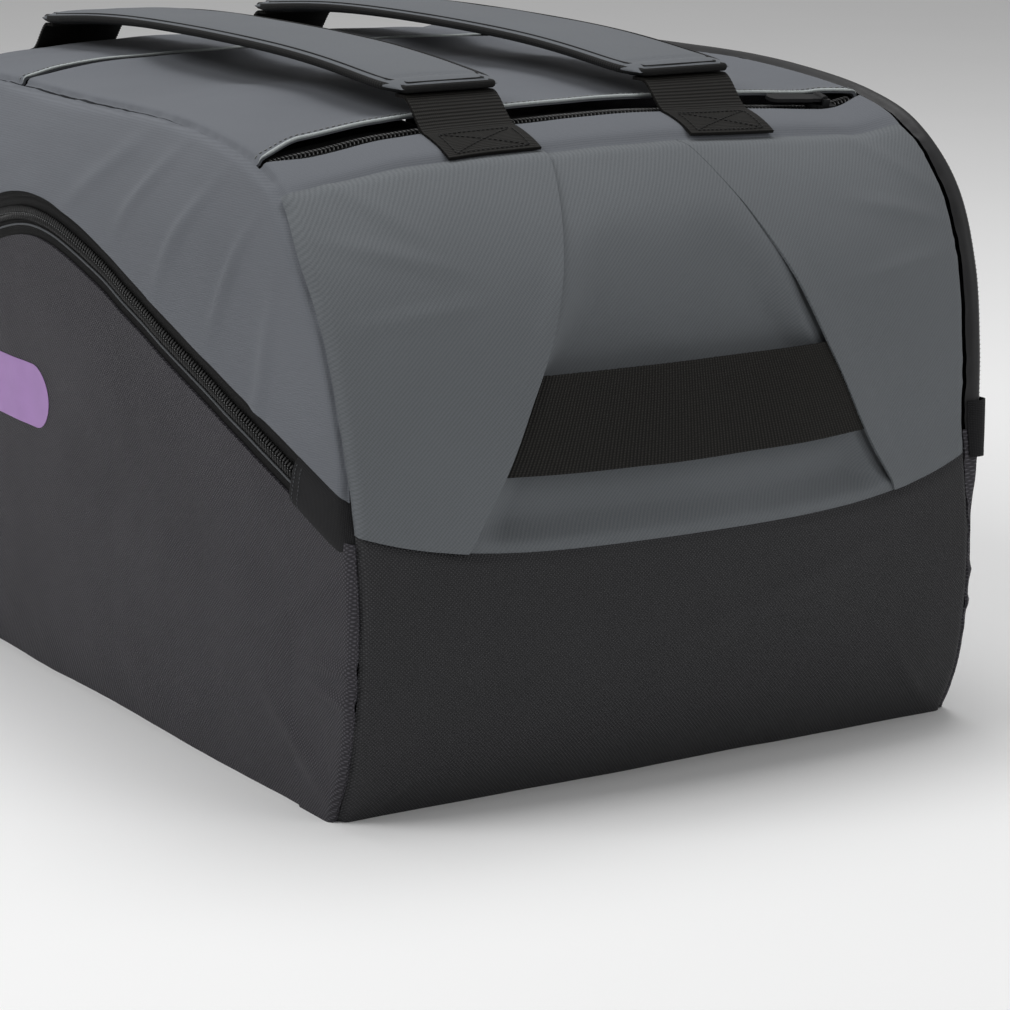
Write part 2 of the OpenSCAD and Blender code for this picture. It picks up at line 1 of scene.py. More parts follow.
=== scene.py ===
# %% [markdown]
# A skate bag, dressed around its imported CAD model. The frame brings in every CAD body and node at
# its real place, in metres. Here each sewn panel, zip, strap and handle gets the shape that filled
# cloth takes. Most pieces ride on the body that carries them; the doors, the print, the straps and
# the front webbing are left where they are made, on no body.

# %% Load the frame
import math
from bisect import bisect_left

import bmesh
import bpy
from mathutils import Matrix, Vector
from mathutils.noise import noise


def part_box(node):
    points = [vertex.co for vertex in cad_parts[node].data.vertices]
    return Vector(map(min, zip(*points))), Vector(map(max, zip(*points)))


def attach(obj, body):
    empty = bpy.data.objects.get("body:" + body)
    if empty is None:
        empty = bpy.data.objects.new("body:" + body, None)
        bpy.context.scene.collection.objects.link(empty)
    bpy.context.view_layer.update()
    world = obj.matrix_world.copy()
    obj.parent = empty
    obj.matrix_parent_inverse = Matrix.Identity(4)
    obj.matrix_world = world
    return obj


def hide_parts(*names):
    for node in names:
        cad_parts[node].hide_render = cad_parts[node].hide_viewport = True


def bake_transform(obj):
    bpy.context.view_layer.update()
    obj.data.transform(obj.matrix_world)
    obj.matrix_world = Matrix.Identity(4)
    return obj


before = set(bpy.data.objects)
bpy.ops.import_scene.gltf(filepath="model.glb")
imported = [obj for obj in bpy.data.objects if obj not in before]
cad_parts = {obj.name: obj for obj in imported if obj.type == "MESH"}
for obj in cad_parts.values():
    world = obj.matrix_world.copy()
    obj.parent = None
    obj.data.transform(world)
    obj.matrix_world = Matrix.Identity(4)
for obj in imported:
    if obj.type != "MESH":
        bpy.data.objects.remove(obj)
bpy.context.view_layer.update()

mm = 0.001

# %% [markdown]
# The camera and the light come first, so that every piece can be looked at as soon as it exists.
# The bag stands on a pale floor. One large light hangs high on the near side, a second one overhead,
# and a weaker one fills the end, so that the weave shows without hard shadows.

# %% Camera, floor and lights
EYE = Vector((1.682, -0.948, 0.530))
TURN = math.radians(58.36)
PITCH = math.radians(13.33)
camera = bpy.data.objects.new("camera", bpy.data.cameras.new("camera"))
bpy.context.scene.collection.objects.link(camera)
camera.location = EYE
camera.rotation_euler = (math.pi / 2 - PITCH, 0, TURN)
camera.data.sensor_width = 36
camera.data.lens = 128.3
bpy.context.scene.camera = camera


def area_light(name, place, aim, size, power):
    light = bpy.data.objects.new(name, bpy.data.lights.new(name, "AREA"))
    bpy.context.scene.collection.objects.link(light)
    light.location = place
    light.rotation_euler = (Vector(aim) - Vector(place)).to_track_quat("-Z", "Y").to_euler()
    light.data.size = size
    light.data.energy = power


area_light("key", (-0.2, -1.8, 2.0), (0, 0, 0.15), 1.2, 25)
area_light("fill", (2.3, 1.2, 1.3), (0.2, 0, 0.15), 1.4, 10)
area_light("top", (-0.3, 0.3, 2.4), (0, 0, 0.2), 1.4, 25)

world = bpy.data.worlds.new("studio")
bpy.context.scene.world = world
world.use_nodes = True
world.node_tree.nodes["Background"].inputs["Color"].default_value = (1, 1, 1, 1)
world.node_tree.nodes["Background"].inputs["Strength"].default_value = 0.36

bm = bmesh.new()
bmesh.ops.create_grid(bm, x_segments=2, y_segments=2, size=6)
floor_mesh = bpy.data.meshes.new("floor")
bm.to_mesh(floor_mesh)
bm.free()
floor = bpy.data.objects.new("floor", floor_mesh)
bpy.context.scene.collection.objects.link(floor)
bpy.context.scene.view_settings.view_transform = "Standard"
print("camera at", tuple(round(a, 3) for a in camera.location))

# %% [markdown]
# The sizes below are the CAD model's own, in metres. The bag's form hangs on one line, the end
# seam, where a side meets the end and the top. It is given by a few knots and a smooth curve
# through them, and every panel is worked out from it.

# %% Sizes of the bag
BODY_L, BODY_W, BODY_H = 0.610, 0.372, 0.315
HALF_L, HALF_W = BODY_L / 2, BODY_W / 2
BELT_H, BELT_DIP = 0.141, 0.017
END_SWELL, SIDE_SWELL = 0.020, 0.012
HINGE_H = BELT_H + 1 * mm
ARCH_H = BODY_H - 0.064
ARCH_TRIM, ARCH_FOOT, ARCH_TURN = 0.014, 3.5 * mm, 0.050
ZIP_HALF = 0.013
FACING = 0.013
HANDLE_Z, HANDLE_HALF = BELT_H + 0.042, 0.022
HANDLE_TOP, HANDLE_BOTTOM = 0.088, 0.112
INSERT_TOP, INSERT_Z = 0.053, BODY_H - 0.048
RECESS = 0.0125
WALL = 3 * mm
TOP_SLOT = 0.018
REAR_ZIP_X = 0.067
STRAP_Y, STRAP_W, STRAP_T = 0.068, 0.060, 0.008
WEB_W, WEB_T = 0.050, 2.2 * mm
MID_LO, MID_HI = BELT_H + 9 * mm, BODY_H - 0.050
TOP_SEAM = 8
FRONT_LIP, REAR_LIP, LIP_R = 3.6 * mm, 1.0 * mm, 0.014
TAPE_T, TAB_T = 0.7 * mm, 0.8 * mm
SOFT_EDGE = 0.022       # beside a seam the long waves fade out over this length
SEAM_ROLL = 3.6 * mm    # how far a panel rolls down into a seam
UPPER_END_H = 0.17      # height of the upper end's cloth, laid flat
RIB, SCALLOP = 1.65 * mm, 0.22 * mm     # webbing: its rib's pitch and its edge's scallop
CORNER_TOP = 0.150      # where the lower wall's corners end
SEWN = 0.45             # share of the strap's webbing that is sewn flat
ENDS = ((1, "front"), (-1, "rear"))

# Knots of the end seam: along, across, up, and the share of the end's swell there.
KNOTS = [
    (HALF_L - 0.020, HALF_W - 6 * mm, 0, 0),
    (HALF_L - 0.007, HALF_W - 6 * mm, 0.22 * BELT_H, 0.4),
    (HALF_L, HALF_W - 7 * mm, 0.55 * BELT_H, 0.65),
    (HALF_L - 1 * mm, HALF_W - 8 * mm, 0.82 * BELT_H, 0.85),
    (HALF_L - 6 * mm, HALF_W - 8 * mm, MID_LO, 0.95),
    (HALF_L - 0.011, HALF_W - 5 * mm, MID_LO + 0.35 * (MID_HI - MID_LO), 1),
    (HALF_L - 0.020, HALF_W - 2 * mm, MID_LO + 0.7 * (MID_HI - MID_LO), 1),
    (HALF_L - 0.038, HALF_W, MID_HI, 0.85),
    (HALF_L - 0.065, HALF_W - 5 * mm, BODY_H - 0.023, 0.6),
    (HALF_L - 0.100, HALF_W - 9 * mm, BODY_H - 0.010, 0.4),
    (HALF_L - 0.150, HALF_W - 0.012, BODY_H - 3 * mm, 0.25),
    (HALF_L - 0.210, HALF_W - 0.014, BODY_H, 0.2),
    (0, HALF_W - 0.016, BODY_H - 1 * mm, 0.15)]
LAST = len(KNOTS) - 1
FULL = 2 * LAST
SEAM_X = KNOTS[TOP_SEAM][0]
FRONT_ZIP_X = SEAM_X - 0.0325


def knot(k):
    if k < 0:
        return tuple(2 * a - b for a, b in zip(KNOTS[0], KNOTS[1]))
    if k > LAST:
        x, y, z, share = KNOTS[FULL - k]
        return (-x, y, z, share)
    return KNOTS[k]


def seam(t):
    """The end seam at t: 0 is the base at the front end, FULL the base at the rear end."""
    turned = t > LAST
    t = FULL - t if turned else t
    i = max(min(int(t), LAST - 1), 0)
    u = t - i
    out = []
    for a, b, c, d in zip(knot(i - 1), knot(i), knot(i + 1), knot(i + 2)):
        out.append(0.5 * (2 * b + (c - a) * u + (2 * a - 5 * b + 4 * c - d) * u * u
                          + (3 * b - a - 3 * c + d) * u ** 3))
    if turned:
        out[0] = -out[0]
    return out


def seam_out(t):
    """The outward direction of the seam in the plane of a side, as (along, up)."""
    a, b = seam(max(t - 0.02, 0)), seam(min(t + 0.02, FULL))
    dx, dz = b[0] - a[0], b[2] - a[2]
    n = math.hypot(dx, dz)
    return dz / n, -dx / n


STEPS = 60
TABLE_T = [i / STEPS for i in range(FULL * STEPS + 1)]
TABLE = [seam(t) for t in TABLE_T]
RUN = [0.0]
for a, b in zip(TABLE, TABLE[1:]):
    RUN.append(RUN[-1] + math.hypot(b[0] - a[0], b[2] - a[2]))
RISE_Z = [p[2] for p in TABLE[:11 * STEPS]]
RISE_X = [-p[0] for p in TABLE[3 * STEPS:(FULL - 3) * STEPS]]


def look_up(xs, ys, x):
    """Reads a table of rising xs at x, with a straight line between its rows."""
    i = min(max(bisect_left(xs, x), 1), len(xs) - 1)
    u = (x - xs[i - 1]) / (xs[i] - xs[i - 1])
    return ys[i - 1] + (ys[i] - ys[i - 1]) * min(max(u, 0), 1)


def at_height(z):
    return look_up(RISE_Z, TABLE_T, z)


def at_length(x):
    return look_up(RISE_X, TABLE_T[3 * STEPS:], -x)


def run_at(t):
    """Length of the seam from the base to t."""
    return look_up(TABLE_T, RUN, t)


def mix(a, b, u):
    return a + (b - a) * u


def bell(u):
    """1 at nought, falling off evenly to both sides."""
    return math.exp(-(u ** 2))


def ramp(u):
    """A smooth step from 0 to 1."""
    u = min(max(u, 0), 1)
    return u * u * (3 - 2 * u)


print("seam is", round(RUN[-1], 3), "m long, over the top")

# %% [markdown]
# Sewn, filled cloth is never as smooth as its pattern. Beside a seam the panel rolls down into the
# stitches, the stitches gather it into short puckers, and between seams it rolls in long soft
# waves. These three movements are small functions of position, and every panel shares them, so
# that two panels still meet exactly where they are sewn together.

# %% How cloth moves at a seam
DIP, DIP_R = 3.0 * mm, 3.6 * mm


def gather(s, seed):
    """How deep the stitches pull a seam at the length s along it."""
    return 1 + 0.34 * noise(Vector((s * 52, seed, 0))) + 0.22 * noise(Vector((s * 150, seed, 3)))


def dip(away, s=0.0, seed=0.0):
    return DIP * gather(s, seed) * bell(away / DIP_R)


def pucker(away, s, seed):
    """Short creases that leave a seam at right angles and fade with distance."""
    fade = math.exp(-away / 0.013) * (1 - math.exp(-away / 2.5 * mm))
    wave = noise(Vector((s * 75, away * 26, seed))) + 0.6 * noise(Vector((s * 170, away * 40, seed + 5)))
    return 1.9 * mm * wave * fade


def soft(p):
    """Long waves over a whole panel."""
    q = Vector(p)
    return 1.5 * mm * noise(q * 13) + 0.55 * mm * noise(q * 37 + Vector((3, 1, 7)))


def crease(a, b, a0, b0, angle, length, width, depth):
    """One straight crease in a panel's own plane: a narrow ridge that fades at both ends."""
    c, s = math.cos(angle), math.sin(angle)
    along = (a - a0) * c + (b - b0) * s
    across = -(a - a0) * s + (b - b0) * c
    if abs(across) > 4 * width or abs(along) > length:
        return 0.0
    return depth * bell(across / width) * (1 - ramp(abs(along) / length))


def slouch(p):
    """The load has settled: the far top edge stands a little high and the near one low."""
    high = ramp((p[2] - 0.225) / 0.085)
    p[2] += high * (7 * mm * ramp((p[1] - 0.140) / 0.042) - 4 * mm * ramp((-p[1] - 0.110) / 0.065))
    return p


def shell(t, v, d=0.0, move=True):
    """A point of the end and top surface. v runs from -1 to 1 across the bag, d goes inwards."""
    x, y, z, share = seam(t)
    ox, oz = seam_out(t)
    away = (1 - abs(v)) * y
    k = END_SWELL * share * (1 - v * v)
    p = [x + k * ox, v * y, z + k * oz]
    if move:
        fade = 1 - bell(away / SOFT_EDGE)
        k = soft(p) * fade + pucker(away, run_at(t), 11 * (1 if v > 0 else -1))
        pull = dip(away, run_at(t), 7 if v > 0 else -7)
        p[1] -= math.copysign(pull, v)
        k -= pull
    else:
        k = 0
    k -= d
    return slouch([p[0] + k * ox, p[1], max(p[2] + k * oz, 0)])


def side_y(x, z):
    p = seam(at_height(min(max(z, 0), BODY_H - 1 * mm)))
    u = min(abs(x) / p[0], 1)
    w = 2 * z / BODY_H - 1
    return p[1] + SIDE_SWELL * (1 - u * u) * (1 - w ** 4)


def side(x, z, s, d=0.0, seam_t=None, away=1.0):
    """A point of a side. s is -1 near and 1 far; seam_t and away say which seam is close."""
    y = side_y(x, z)
    p = [x, s * y, z]
    fade = 1 - bell(away / SOFT_EDGE)
    k = soft(p) * fade - d
    if seam_t is not None:
        ox, oz = seam_out(seam_t)
        r = run_at(seam_t)
        pull = dip(away, r, 7 * s)
        p[0] -= pull * ox
        p[2] -= pull * oz
        k += pucker(away, r, 3 + s) - pull
    p[1] += s * k
    p[2] = max(p[2], 0)
    return slouch(p)


def roll_radius(z):
    """The far side rolls over its edge, the higher the rounder, because the zip lets it bulge."""
    return 0.5 * mm + 11.5 * mm * ramp((z - 0.098) / 0.062)


def bulge_fade(away):
    return bell(away / 0.11)


# %% [markdown]
# Every panel starts as a flat grid, as cloth starts as a flat piece. Each of its vertices is moved
# to its place on the bag, a UV map called weave keeps the flat size for the cloth's pattern, and
# an extruded copy gives the sheet its thickness. Edges with a sharp fold are marked, so that the
# shading stays crisp at the rim and smooth on the face.

# %% Make a panel
def object_from(bm, name, material, body, replaces=(), ride=True):
    mesh = bpy.data.meshes.new(name)
    bm.to_mesh(mesh)
    bm.free()
    mesh.set_sharp_from_angle(angle=math.radians(52))
    made = bpy.data.objects.new(name, mesh)
    bpy.context.scene.collection.objects.link(made)
    for one in material if isinstance(material, (list, tuple)) else [material]:
        mesh.materials.append(one)
    if replaces:
        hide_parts(*replaces)
    if ride:
        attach(made, body)
    return made


def grid(bm, nu, nv, place, cloth, lay=None):
    """Adds a grid with nu by nv faces. place(u, v) gives a point and cloth is the flat size."""
    layer = bm.loops.layers.uv.get("weave") or bm.loops.layers.uv.new("weave")
    made = bmesh.ops.create_grid(bm, x_segments=nu, y_segments=nv, size=1)["verts"]
    flat = {}
    for vert in made:
        u, v = (vert.co.x + 1) / 2, (vert.co.y + 1) / 2
        vert.co = place(u, v)
        flat[vert] = lay(vert.co) if lay else (u * cloth[0], v * cloth[1])
    faces = {f for vert in made for f in vert.link_faces}
    for face in faces:
        face.smooth = True
        for loop in face.loops:
            loop[layer].uv = flat[loop.vert]
    return made


def thicken(bm, wall, outward):
    """Closes an open sheet: outward is a direction that its outer face looks towards."""
    bmesh.ops.remove_doubles(bm, verts=bm.verts[:], dist=1e-6)
    thin = [e for e in bm.edges if e.calc_length() < 1e-6]
    if thin:
        bmesh.ops.dissolve_degenerate(bm, edges=thin, dist=1e-6)
    bm.normal_update()
    total = sum((f.normal * f.calc_area() for f in bm.faces), Vector())
    if total.dot(Vector(outward)) < 0:
        bmesh.ops.reverse_faces(bm, faces=bm.faces[:])
        bm.normal_update()
    inward = {v.co.to_tuple(7): v.normal * -wall for v in bm.verts}
    made = bmesh.ops.extrude_face_region(bm, geom=bm.faces[:], use_keep_orig=True)["geom"]
    for vert in made:
        if isinstance(vert, bmesh.types.BMVert):
            vert.co += inward[vert.co.to_tuple(7)]
    bmesh.ops.recalc_face_normals(bm, faces=bm.faces[:])
    for face in bm.faces:
        face.smooth = True


def weld(bm, dist):
    """Joins a skin where it meets itself, closes what is open and turns its faces outwards."""
    bmesh.ops.remove_doubles(bm, verts=bm.verts[:], dist=dist)
    ends = [e for e in bm.edges if e.is_boundary]
    if ends:
        bmesh.ops.holes_fill(bm, edges=ends, sides=0)
    bmesh.ops.recalc_face_normals(bm, faces=bm.faces[:])


def mirrored(bm):
    """Turns a front piece into the rear one."""
    bmesh.ops.scale(bm, verts=bm.verts[:], vec=(-1, 1, 1))
    bmesh.ops.reverse_faces(bm, faces=bm.faces[:])


def panel(name, sheets, wall, outward, material, body, replaces=(), ride=True, rear=False):
    """A sewn piece from one or more grids that share an edge."""
    bm = bmesh.new()
    for sheet in sheets:
        grid(bm, *sheet)
    thicken(bm, wall, outward)
    if rear:
        mirrored(bm)
    made = object_from(bm, name, material, body, replaces, ride)
    print(name, len(made.data.polygons), "faces")
    return made


# %% [markdown]
# Cloth is told apart by its weave. Each finish below builds height and colour from a few waves in
# the panel's own flat UV map, so that the threads follow the panel round a bend. The pitch of each
# wave is the real pitch of the threads.

# %% Materials
def finish(name, color, rough, sheen=0.0, spec=0.16, metal=0.0):
    made = bpy.data.materials.new(name)
    made.use_nodes = True
    tree = made.node_tree
    shader = tree.nodes["Principled BSDF"]
    shader.inputs["Base Color"].default_value = (*color, 1)
    shader.inputs["Roughness"].default_value = rough
    shader.inputs["Specular IOR Level"].default_value = spec
    shader.inputs["Metallic"].default_value = metal
    if sheen:
        shader.inputs["Sheen Weight"].default_value = sheen
        shader.inputs["Sheen Roughness"].default_value = 0.45
    return made, tree, shader


def node(tree, kind, **values):
    made = tree.nodes.new(kind)
    for key, value in values.items():
        setattr(made, key, value)
    return made


def math_node(tree, how, a, b):
    made = node(tree, "ShaderNodeMath", operation=how)
    for i, value in enumerate((a, b)):
        if isinstance(value, (int, float)):
            made.inputs[i].default_value = value
        else:
            tree.links.new(value, made.inputs[i])
    return made.outputs[0]


def flat_map(tree, turn=0.0):
    """The weave map, turned by an angle."""
    source = node(tree, "ShaderNodeUVMap", uv_map="weave")
    place = node(tree, "ShaderNodeMapping")
    place.inputs["Rotation"].default_value = (0, 0, turn)
    tree.links.new(source.outputs["UV"], place.inputs["Vector"])
    return place.outputs["Vector"]


def threads(tree, vector, pitch, way="X", wobble=0.0):
    """A wave whose crests are a pitch apart."""
    made = node(tree, "ShaderNodeTexWave", wave_type="BANDS", bands_direction=way, wave_profile="SIN")
    made.inputs["Scale"].default_value = math.pi / (10 * pitch)
    made.inputs["Distortion"].default_value = wobble
    made.inputs["Detail"].default_value = 1
    made.inputs["Detail Scale"].default_value = 1.5
    tree.links.new(vector, made.inputs["Vector"])
    return made.outputs["Fac"]


def grain(tree, scale, detail=2.0, flat=False):
    """Even random grain, through the body of the object or on the flat cloth."""
    made = node(tree, "ShaderNodeTexNoise")
    made.inputs["Scale"].default_value = scale
    made.inputs["Detail"].default_value = detail
    if flat:
        tree.links.new(flat_map(tree), made.inputs["Vector"])
    else:
        source = node(tree, "ShaderNodeTexCoord")
        tree.links.new(source.outputs["Object"], made.inputs["Vector"])
    return made.outputs["Fac"]


def tint(tree, shader, fac, dark, light):
    ramp_node = node(tree, "ShaderNodeValToRGB")
    ramp_node.color_ramp.elements[0].position = 0.2
    ramp_node.color_ramp.elements[0].color = (*dark, 1)
    ramp_node.color_ramp.elements[1].position = 0.8
    ramp_node.color_ramp.elements[1].color = (*light, 1)
    tree.links.new(fac, ramp_node.inputs["Fac"])
    tree.links.new(ramp_node.outputs["Color"], shader.inputs["Base Color"])


def relief(tree, shader, height, strength, depth):
    bump = node(tree, "ShaderNodeBump")
    bump.inputs["Strength"].default_value = strength
    bump.inputs["Distance"].default_value = depth
    tree.links.new(height, bump.inputs["Height"])
    tree.links.new(bump.outputs["Normal"], shader.inputs["Normal"])


def shade(color, k):
    return tuple(c * k for c in color)


def woven(name, color, pitch, turn=0.0, contrast=0.22, strength=0.45, rough=0.86, sheen=0.06):
    """A twill: fine ribs that run on a slant, broken up by single threads and by grain."""
    made, tree, shader = finish(name, color, rough, sheen)
    ribs = threads(tree, flat_map(tree, math.radians(45) + turn), pitch, "X", 0.6)
    cross = threads(tree, flat_map(tree, math.radians(-45) + turn), pitch * 0.62, "X", 0.4)
    fine = grain(tree, 1500, 2, flat=True)
    height = math_node(tree, "ADD", math_node(tree, "MULTIPLY", ribs, 0.42),
                       math_node(tree, "ADD", math_node(tree, "MULTIPLY", cross, 0.26),
                                 math_node(tree, "MULTIPLY", fine, 0.8)))
    relief(tree, shader, height, strength, 0.25 * mm)
    slow = grain(tree, 7, 3)
    tone = math_node(tree, "ADD", math_node(tree, "MULTIPLY", height, 0.6),
                     math_node(tree, "MULTIPLY", slow, 0.35))
    tint(tree, shader, tone, shade(color, 1 - contrast), shade(color, 1 + contrast))
    return made


def embossed(name, color, light, pitch=1.35 * mm):
    """Coated cloth with rows of small raised dots."""
    made, tree, shader = finish(name, color, 0.62, 0.0, 0.26)
    dots = math_node(tree, "MULTIPLY", threads(tree, flat_map(tree, math.radians(45)), pitch),
                     threads(tree, flat_map(tree, math.radians(-45)), pitch))
    fine = grain(tree, 900, 2, flat=True)
    height = math_node(tree, "ADD", dots, math_node(tree, "MULTIPLY", fine, 0.12))
    relief(tree, shader, height, 1.0, 0.45 * mm)
    tone = math_node(tree, "ADD", math_node(tree, "MULTIPLY", dots, 0.7),
                     math_node(tree, "MULTIPLY", grain(tree, 9, 3), 0.3))
    tint(tree, shader, tone, color, light)
    return made


def ribbed(name, color, light, pitch=RIB, across=1.1 * mm, rough=0.62, strength=0.8):
    """Webbing: a close rib across its width, made of single threads."""
    made, tree, shader = finish(name, color, rough, 0.0, 0.14)
    ribs = threads(tree, flat_map(tree), pitch, "X", 0.3)
    dots = threads(tree, flat_map(tree), across, "Y", 0.5)
    gaps = math_node(tree, "ADD", math_node(tree, "MULTIPLY", dots, 0.6), 0.4)
    height = math_node(tree, "MULTIPLY", ribs, gaps)
    relief(tree, shader, height, strength, 0.5 * mm)
    tint(tree, shader, height, color, light)
    return made


def plain(name, color, rough=0.7, spec=0.16, sheen=0.0, metal=0.0, scale=350, bump=0.25, spread=0.15):
    """Small trim: an even colour broken up by fine grain."""
    made, tree, shader = finish(name, color, rough, sheen, spec, metal)
    fine = grain(tree, scale, 3)
    relief(tree, shader, fine, bump, 0.2 * mm)
    tint(tree, shader, fine, shade(color, 1 - spread), shade(color, 1 + spread))
    return made


GREY = (0.121, 0.130, 0.139)
grey_weave = woven("grey_weave", GREY, 1.6 * mm)
grey_side = woven("grey_side_weave", (0.124, 0.132, 0.147), 1.1 * mm, math.radians(45), 0.2, 0.35)
strap_cloth = woven("strap_weave", (0.118, 0.126, 0.137), 1.1 * mm, 0, 0.2, 0.35)
# The coated cloth is made twice. The end's copy is darker than the side's: painted shade, for the end that the
# key light reaches less.
side_coat = embossed("side_coated_cloth", (0.024, 0.0225, 0.027), (0.098, 0.094, 0.108), 1.4 * mm)
end_coat_painted_shade = embossed("end_coated_cloth_painted_shade", (0.019, 0.019, 0.0205), (0.060, 0.060, 0.064), 1.3 * mm)
black_webbing = ribbed("black_webbing", (0.007, 0.0065, 0.006), (0.028, 0.027, 0.024))
zip_tape = ribbed("zip_tape", (0.008, 0.008, 0.008), (0.018, 0.018, 0.018), 0.9 * mm, 0.9 * mm, 0.7, 0.5)
facing_tape = plain("facing_tape", (0.013, 0.013, 0.014), 0.55, 0.4, scale=700)
zip_coil = plain("zip_coil", (0.014, 0.014, 0.014), 0.34, 0.4, bump=0.05)
tab_cloth = ribbed("tab_cloth", (0.011, 0.011, 0.012), (0.024, 0.024, 0.025), 0.9 * mm, 0.9 * mm, 0.75, 0.4)
pale_cloth = plain("pale_binding", (0.40, 0.43, 0.43), 0.6, scale=900, spread=0.12)
black_binding = ribbed("black_binding", (0.009, 0.009, 0.009), (0.022, 0.022, 0.022), 0.8 * mm, 0.8 * mm, 0.7,
                       0.4)
grey_thread = plain("grey_thread", (0.085, 0.09, 0.096), 0.6, scale=900)
black_thread = plain("black_thread", (0.02, 0.02, 0.02), 0.5, scale=900)
# Pale thread for the topstitching, also used for the dots along the middle of the zip coils, which are painted
# highlights.
pale_thread_and_highlight = plain("pale_thread_and_highlight", (0.20, 0.205, 0.205), 0.5, scale=900)
lilac = plain("lilac_print", (0.37, 0.22, 0.47), 0.5, scale=60, bump=0.1, spread=0.06)
board = plain("board", (0.02, 0.02, 0.021), 0.5)
lining = woven("lining", (0.07, 0.073, 0.078), 1.0 * mm)
slider_paint = plain("slider_paint", (0.02, 0.02, 0.021), 0.35, 0.5, metal=0.4, bump=0.1)
puller_rubber = plain("puller_rubber", (0.018, 0.018, 0.019), 0.6)
floor.data.materials.append(plain("pale_floor", (0.92, 0.92, 0.92), 0.9, 0.2, scale=3, bump=0.0, spread=0.01))
print(len(bpy.data.materials), "materials")

# %% [markdown]
# The end of the bag is two cloths. Below the belt line it is coated cloth, which wipes clean. Above
# it is grey weave with a pocket pressed in behind the grab handle, closed at each side by a slanting
# seam. The upper end is three grids, one for each wing and one for the recess, whose columns follow
# those slanting seams, so that the fold between a wing and the recess falls exactly on a column.

# %% The lower end
def belt_z(v):
    return BELT_H - BELT_DIP * (1 - v ** 4)


def belt_t(v):
    share = seam(at_height(belt_z(v)))[3]
    return at_height(belt_z(v) - 0.12 * END_SWELL * share * (1 - v * v))


def insert_half(z):
    """Half width of the recessed insert at a height: two straight runs of its slanting seam."""
    knee, low = HANDLE_Z + HANDLE_HALF, HANDLE_Z - HANDLE_HALF
    if z > knee:
        return mix(HANDLE_TOP, INSERT_TOP, (z - knee) / (INSERT_Z - knee))
    return mix(HANDLE_TOP, HANDLE_BOTTOM, (knee - z) / (knee - low))


def end_point(t, v, sunk=0.0, groove=0.0):
    q = shell(t, v, sunk)
    ox, oz = seam_out(t)
    return Vector((q[0] - groove * ox, q[1], q[2] - groove * oz))


def lower_end(u, w):
    v = 2 * u - 1
    t = mix(0, belt_t(v), w)
    edge = BELT_H * (1 - w)
    roll = 2.2 * mm * bell(edge / SEAM_ROLL) * (1 - abs(v) ** 8)
    hang = crease(v * HALF_W, w * BELT_H, 0.05, 0.10, 0.25, 0.12, 6 * mm, 1.0 * mm)
    hang += crease(v * HALF_W, w * BELT_H, -0.06, 0.07, -0.2, 0.14, 8 * mm, 0.9 * mm)
    fold = crease(v * HALF_W, w * BELT_H, -0.150, 0.030, 0.9, 0.045, 3.5 * mm, 1.2 * mm)
    fold += crease(v * HALF_W, w * BELT_H, 0.150, 0.034, -0.9, 0.05, 4 * mm, 1.2 * mm)
    return end_point(t, v, -(hang + fold), roll)


def recess_depth(t, v, across, z):
    """How far the recess is sunk: none at its slanting seams, the whole depth 20 mm inside them."""
    up = ramp((INSERT_Z + 0.010 - z) / 0.058) * ramp((z - belt_z(v) + 1 * mm) / 0.020)
    inside = ramp((insert_half(z) - across) / 0.026)
    return RECESS * up * inside


UP_ROWS = 96


def upper_end_row(v, w):
    t = mix(belt_t(v), TOP_SEAM, w)
    return t, shell(t, v, 0, False)[2]


def wing(side_sign):
    def place(u, w):
        t, z = upper_end_row(side_sign, w)
        half = insert_half(z) / seam(t)[1]
        v = side_sign * mix(half, 1, u)
        t, z = upper_end_row(v, w)
        y = abs(v) * seam(t)[1]
        near_fold = y - insert_half(z)
        lip = 1.0 * mm * math.exp(-(max(near_fold, 0) / (6 * mm)) ** 2) * (1 - ramp((z - 0.235) / 0.04))
        top = 2.4 * mm * bell((1 - w) * UPPER_END_H / SEAM_ROLL) * (1 - abs(v) ** 8)
        bottom = 2.2 * mm * bell(w * UPPER_END_H / SEAM_ROLL) * (1 - abs(v) ** 8)
        fan = 0.0
        for k, (zz, ang) in enumerate(((0.285, -0.6), (0.262, -0.25), (0.236, 0.1))):
            fan += crease(y, z, 0.150 - 0.006 * k, zz, ang * side_sign, 0.05, 4 * mm, 1.1 * mm)
        return end_point(t, v, -lip - fan, top + bottom)
    return place


def insert_sheet(u, w):
    """The recess, with a seam allowance at each side that is tucked behind the wing."""
    v0 = 2 * u - 1
    t, z = upper_end_row(v0, w)
    half = insert_half(z)
    y = min(abs(v0) / 0.96, 1) * half + max(abs(v0) - 0.96, 0) / 0.04 * 7 * mm
    v = math.copysign(y / seam(t)[1], v0)
    t, z = upper_end_row(v, w)
    deep = recess_depth(t, v, y, z)
    top = 2.4 * mm * bell((1 - w) * UPPER_END_H / SEAM_ROLL)
    bottom = 2.2 * mm * bell(w * UPPER_END_H / SEAM_ROLL)
    low = (1 - ramp((z - 0.225) / 0.03)) * ramp((z - belt_z(v)) / 0.012)
    step = (3.0 * mm if v > 0 else 1.3 * mm) * (1 - ramp((half - y) / (9 * mm))) * low
    tuck = mix(0.5, 2.0, low) * mm * ramp((abs(v0) - 0.955) / 0.012)
    press = 0.9 * mm * noise(Vector((v * 5, z * 26, 4)))
    dart = crease(y if v > 0 else -y, z, 0.058, 0.262, -1.15, 0.030, 2.6 * mm, -1.6 * mm)
    return end_point(t, v, deep + step + tuck - press * ramp(deep / (8 * mm)) - dart, top + bottom)


def flat_end(co):
    return co.y, co.z


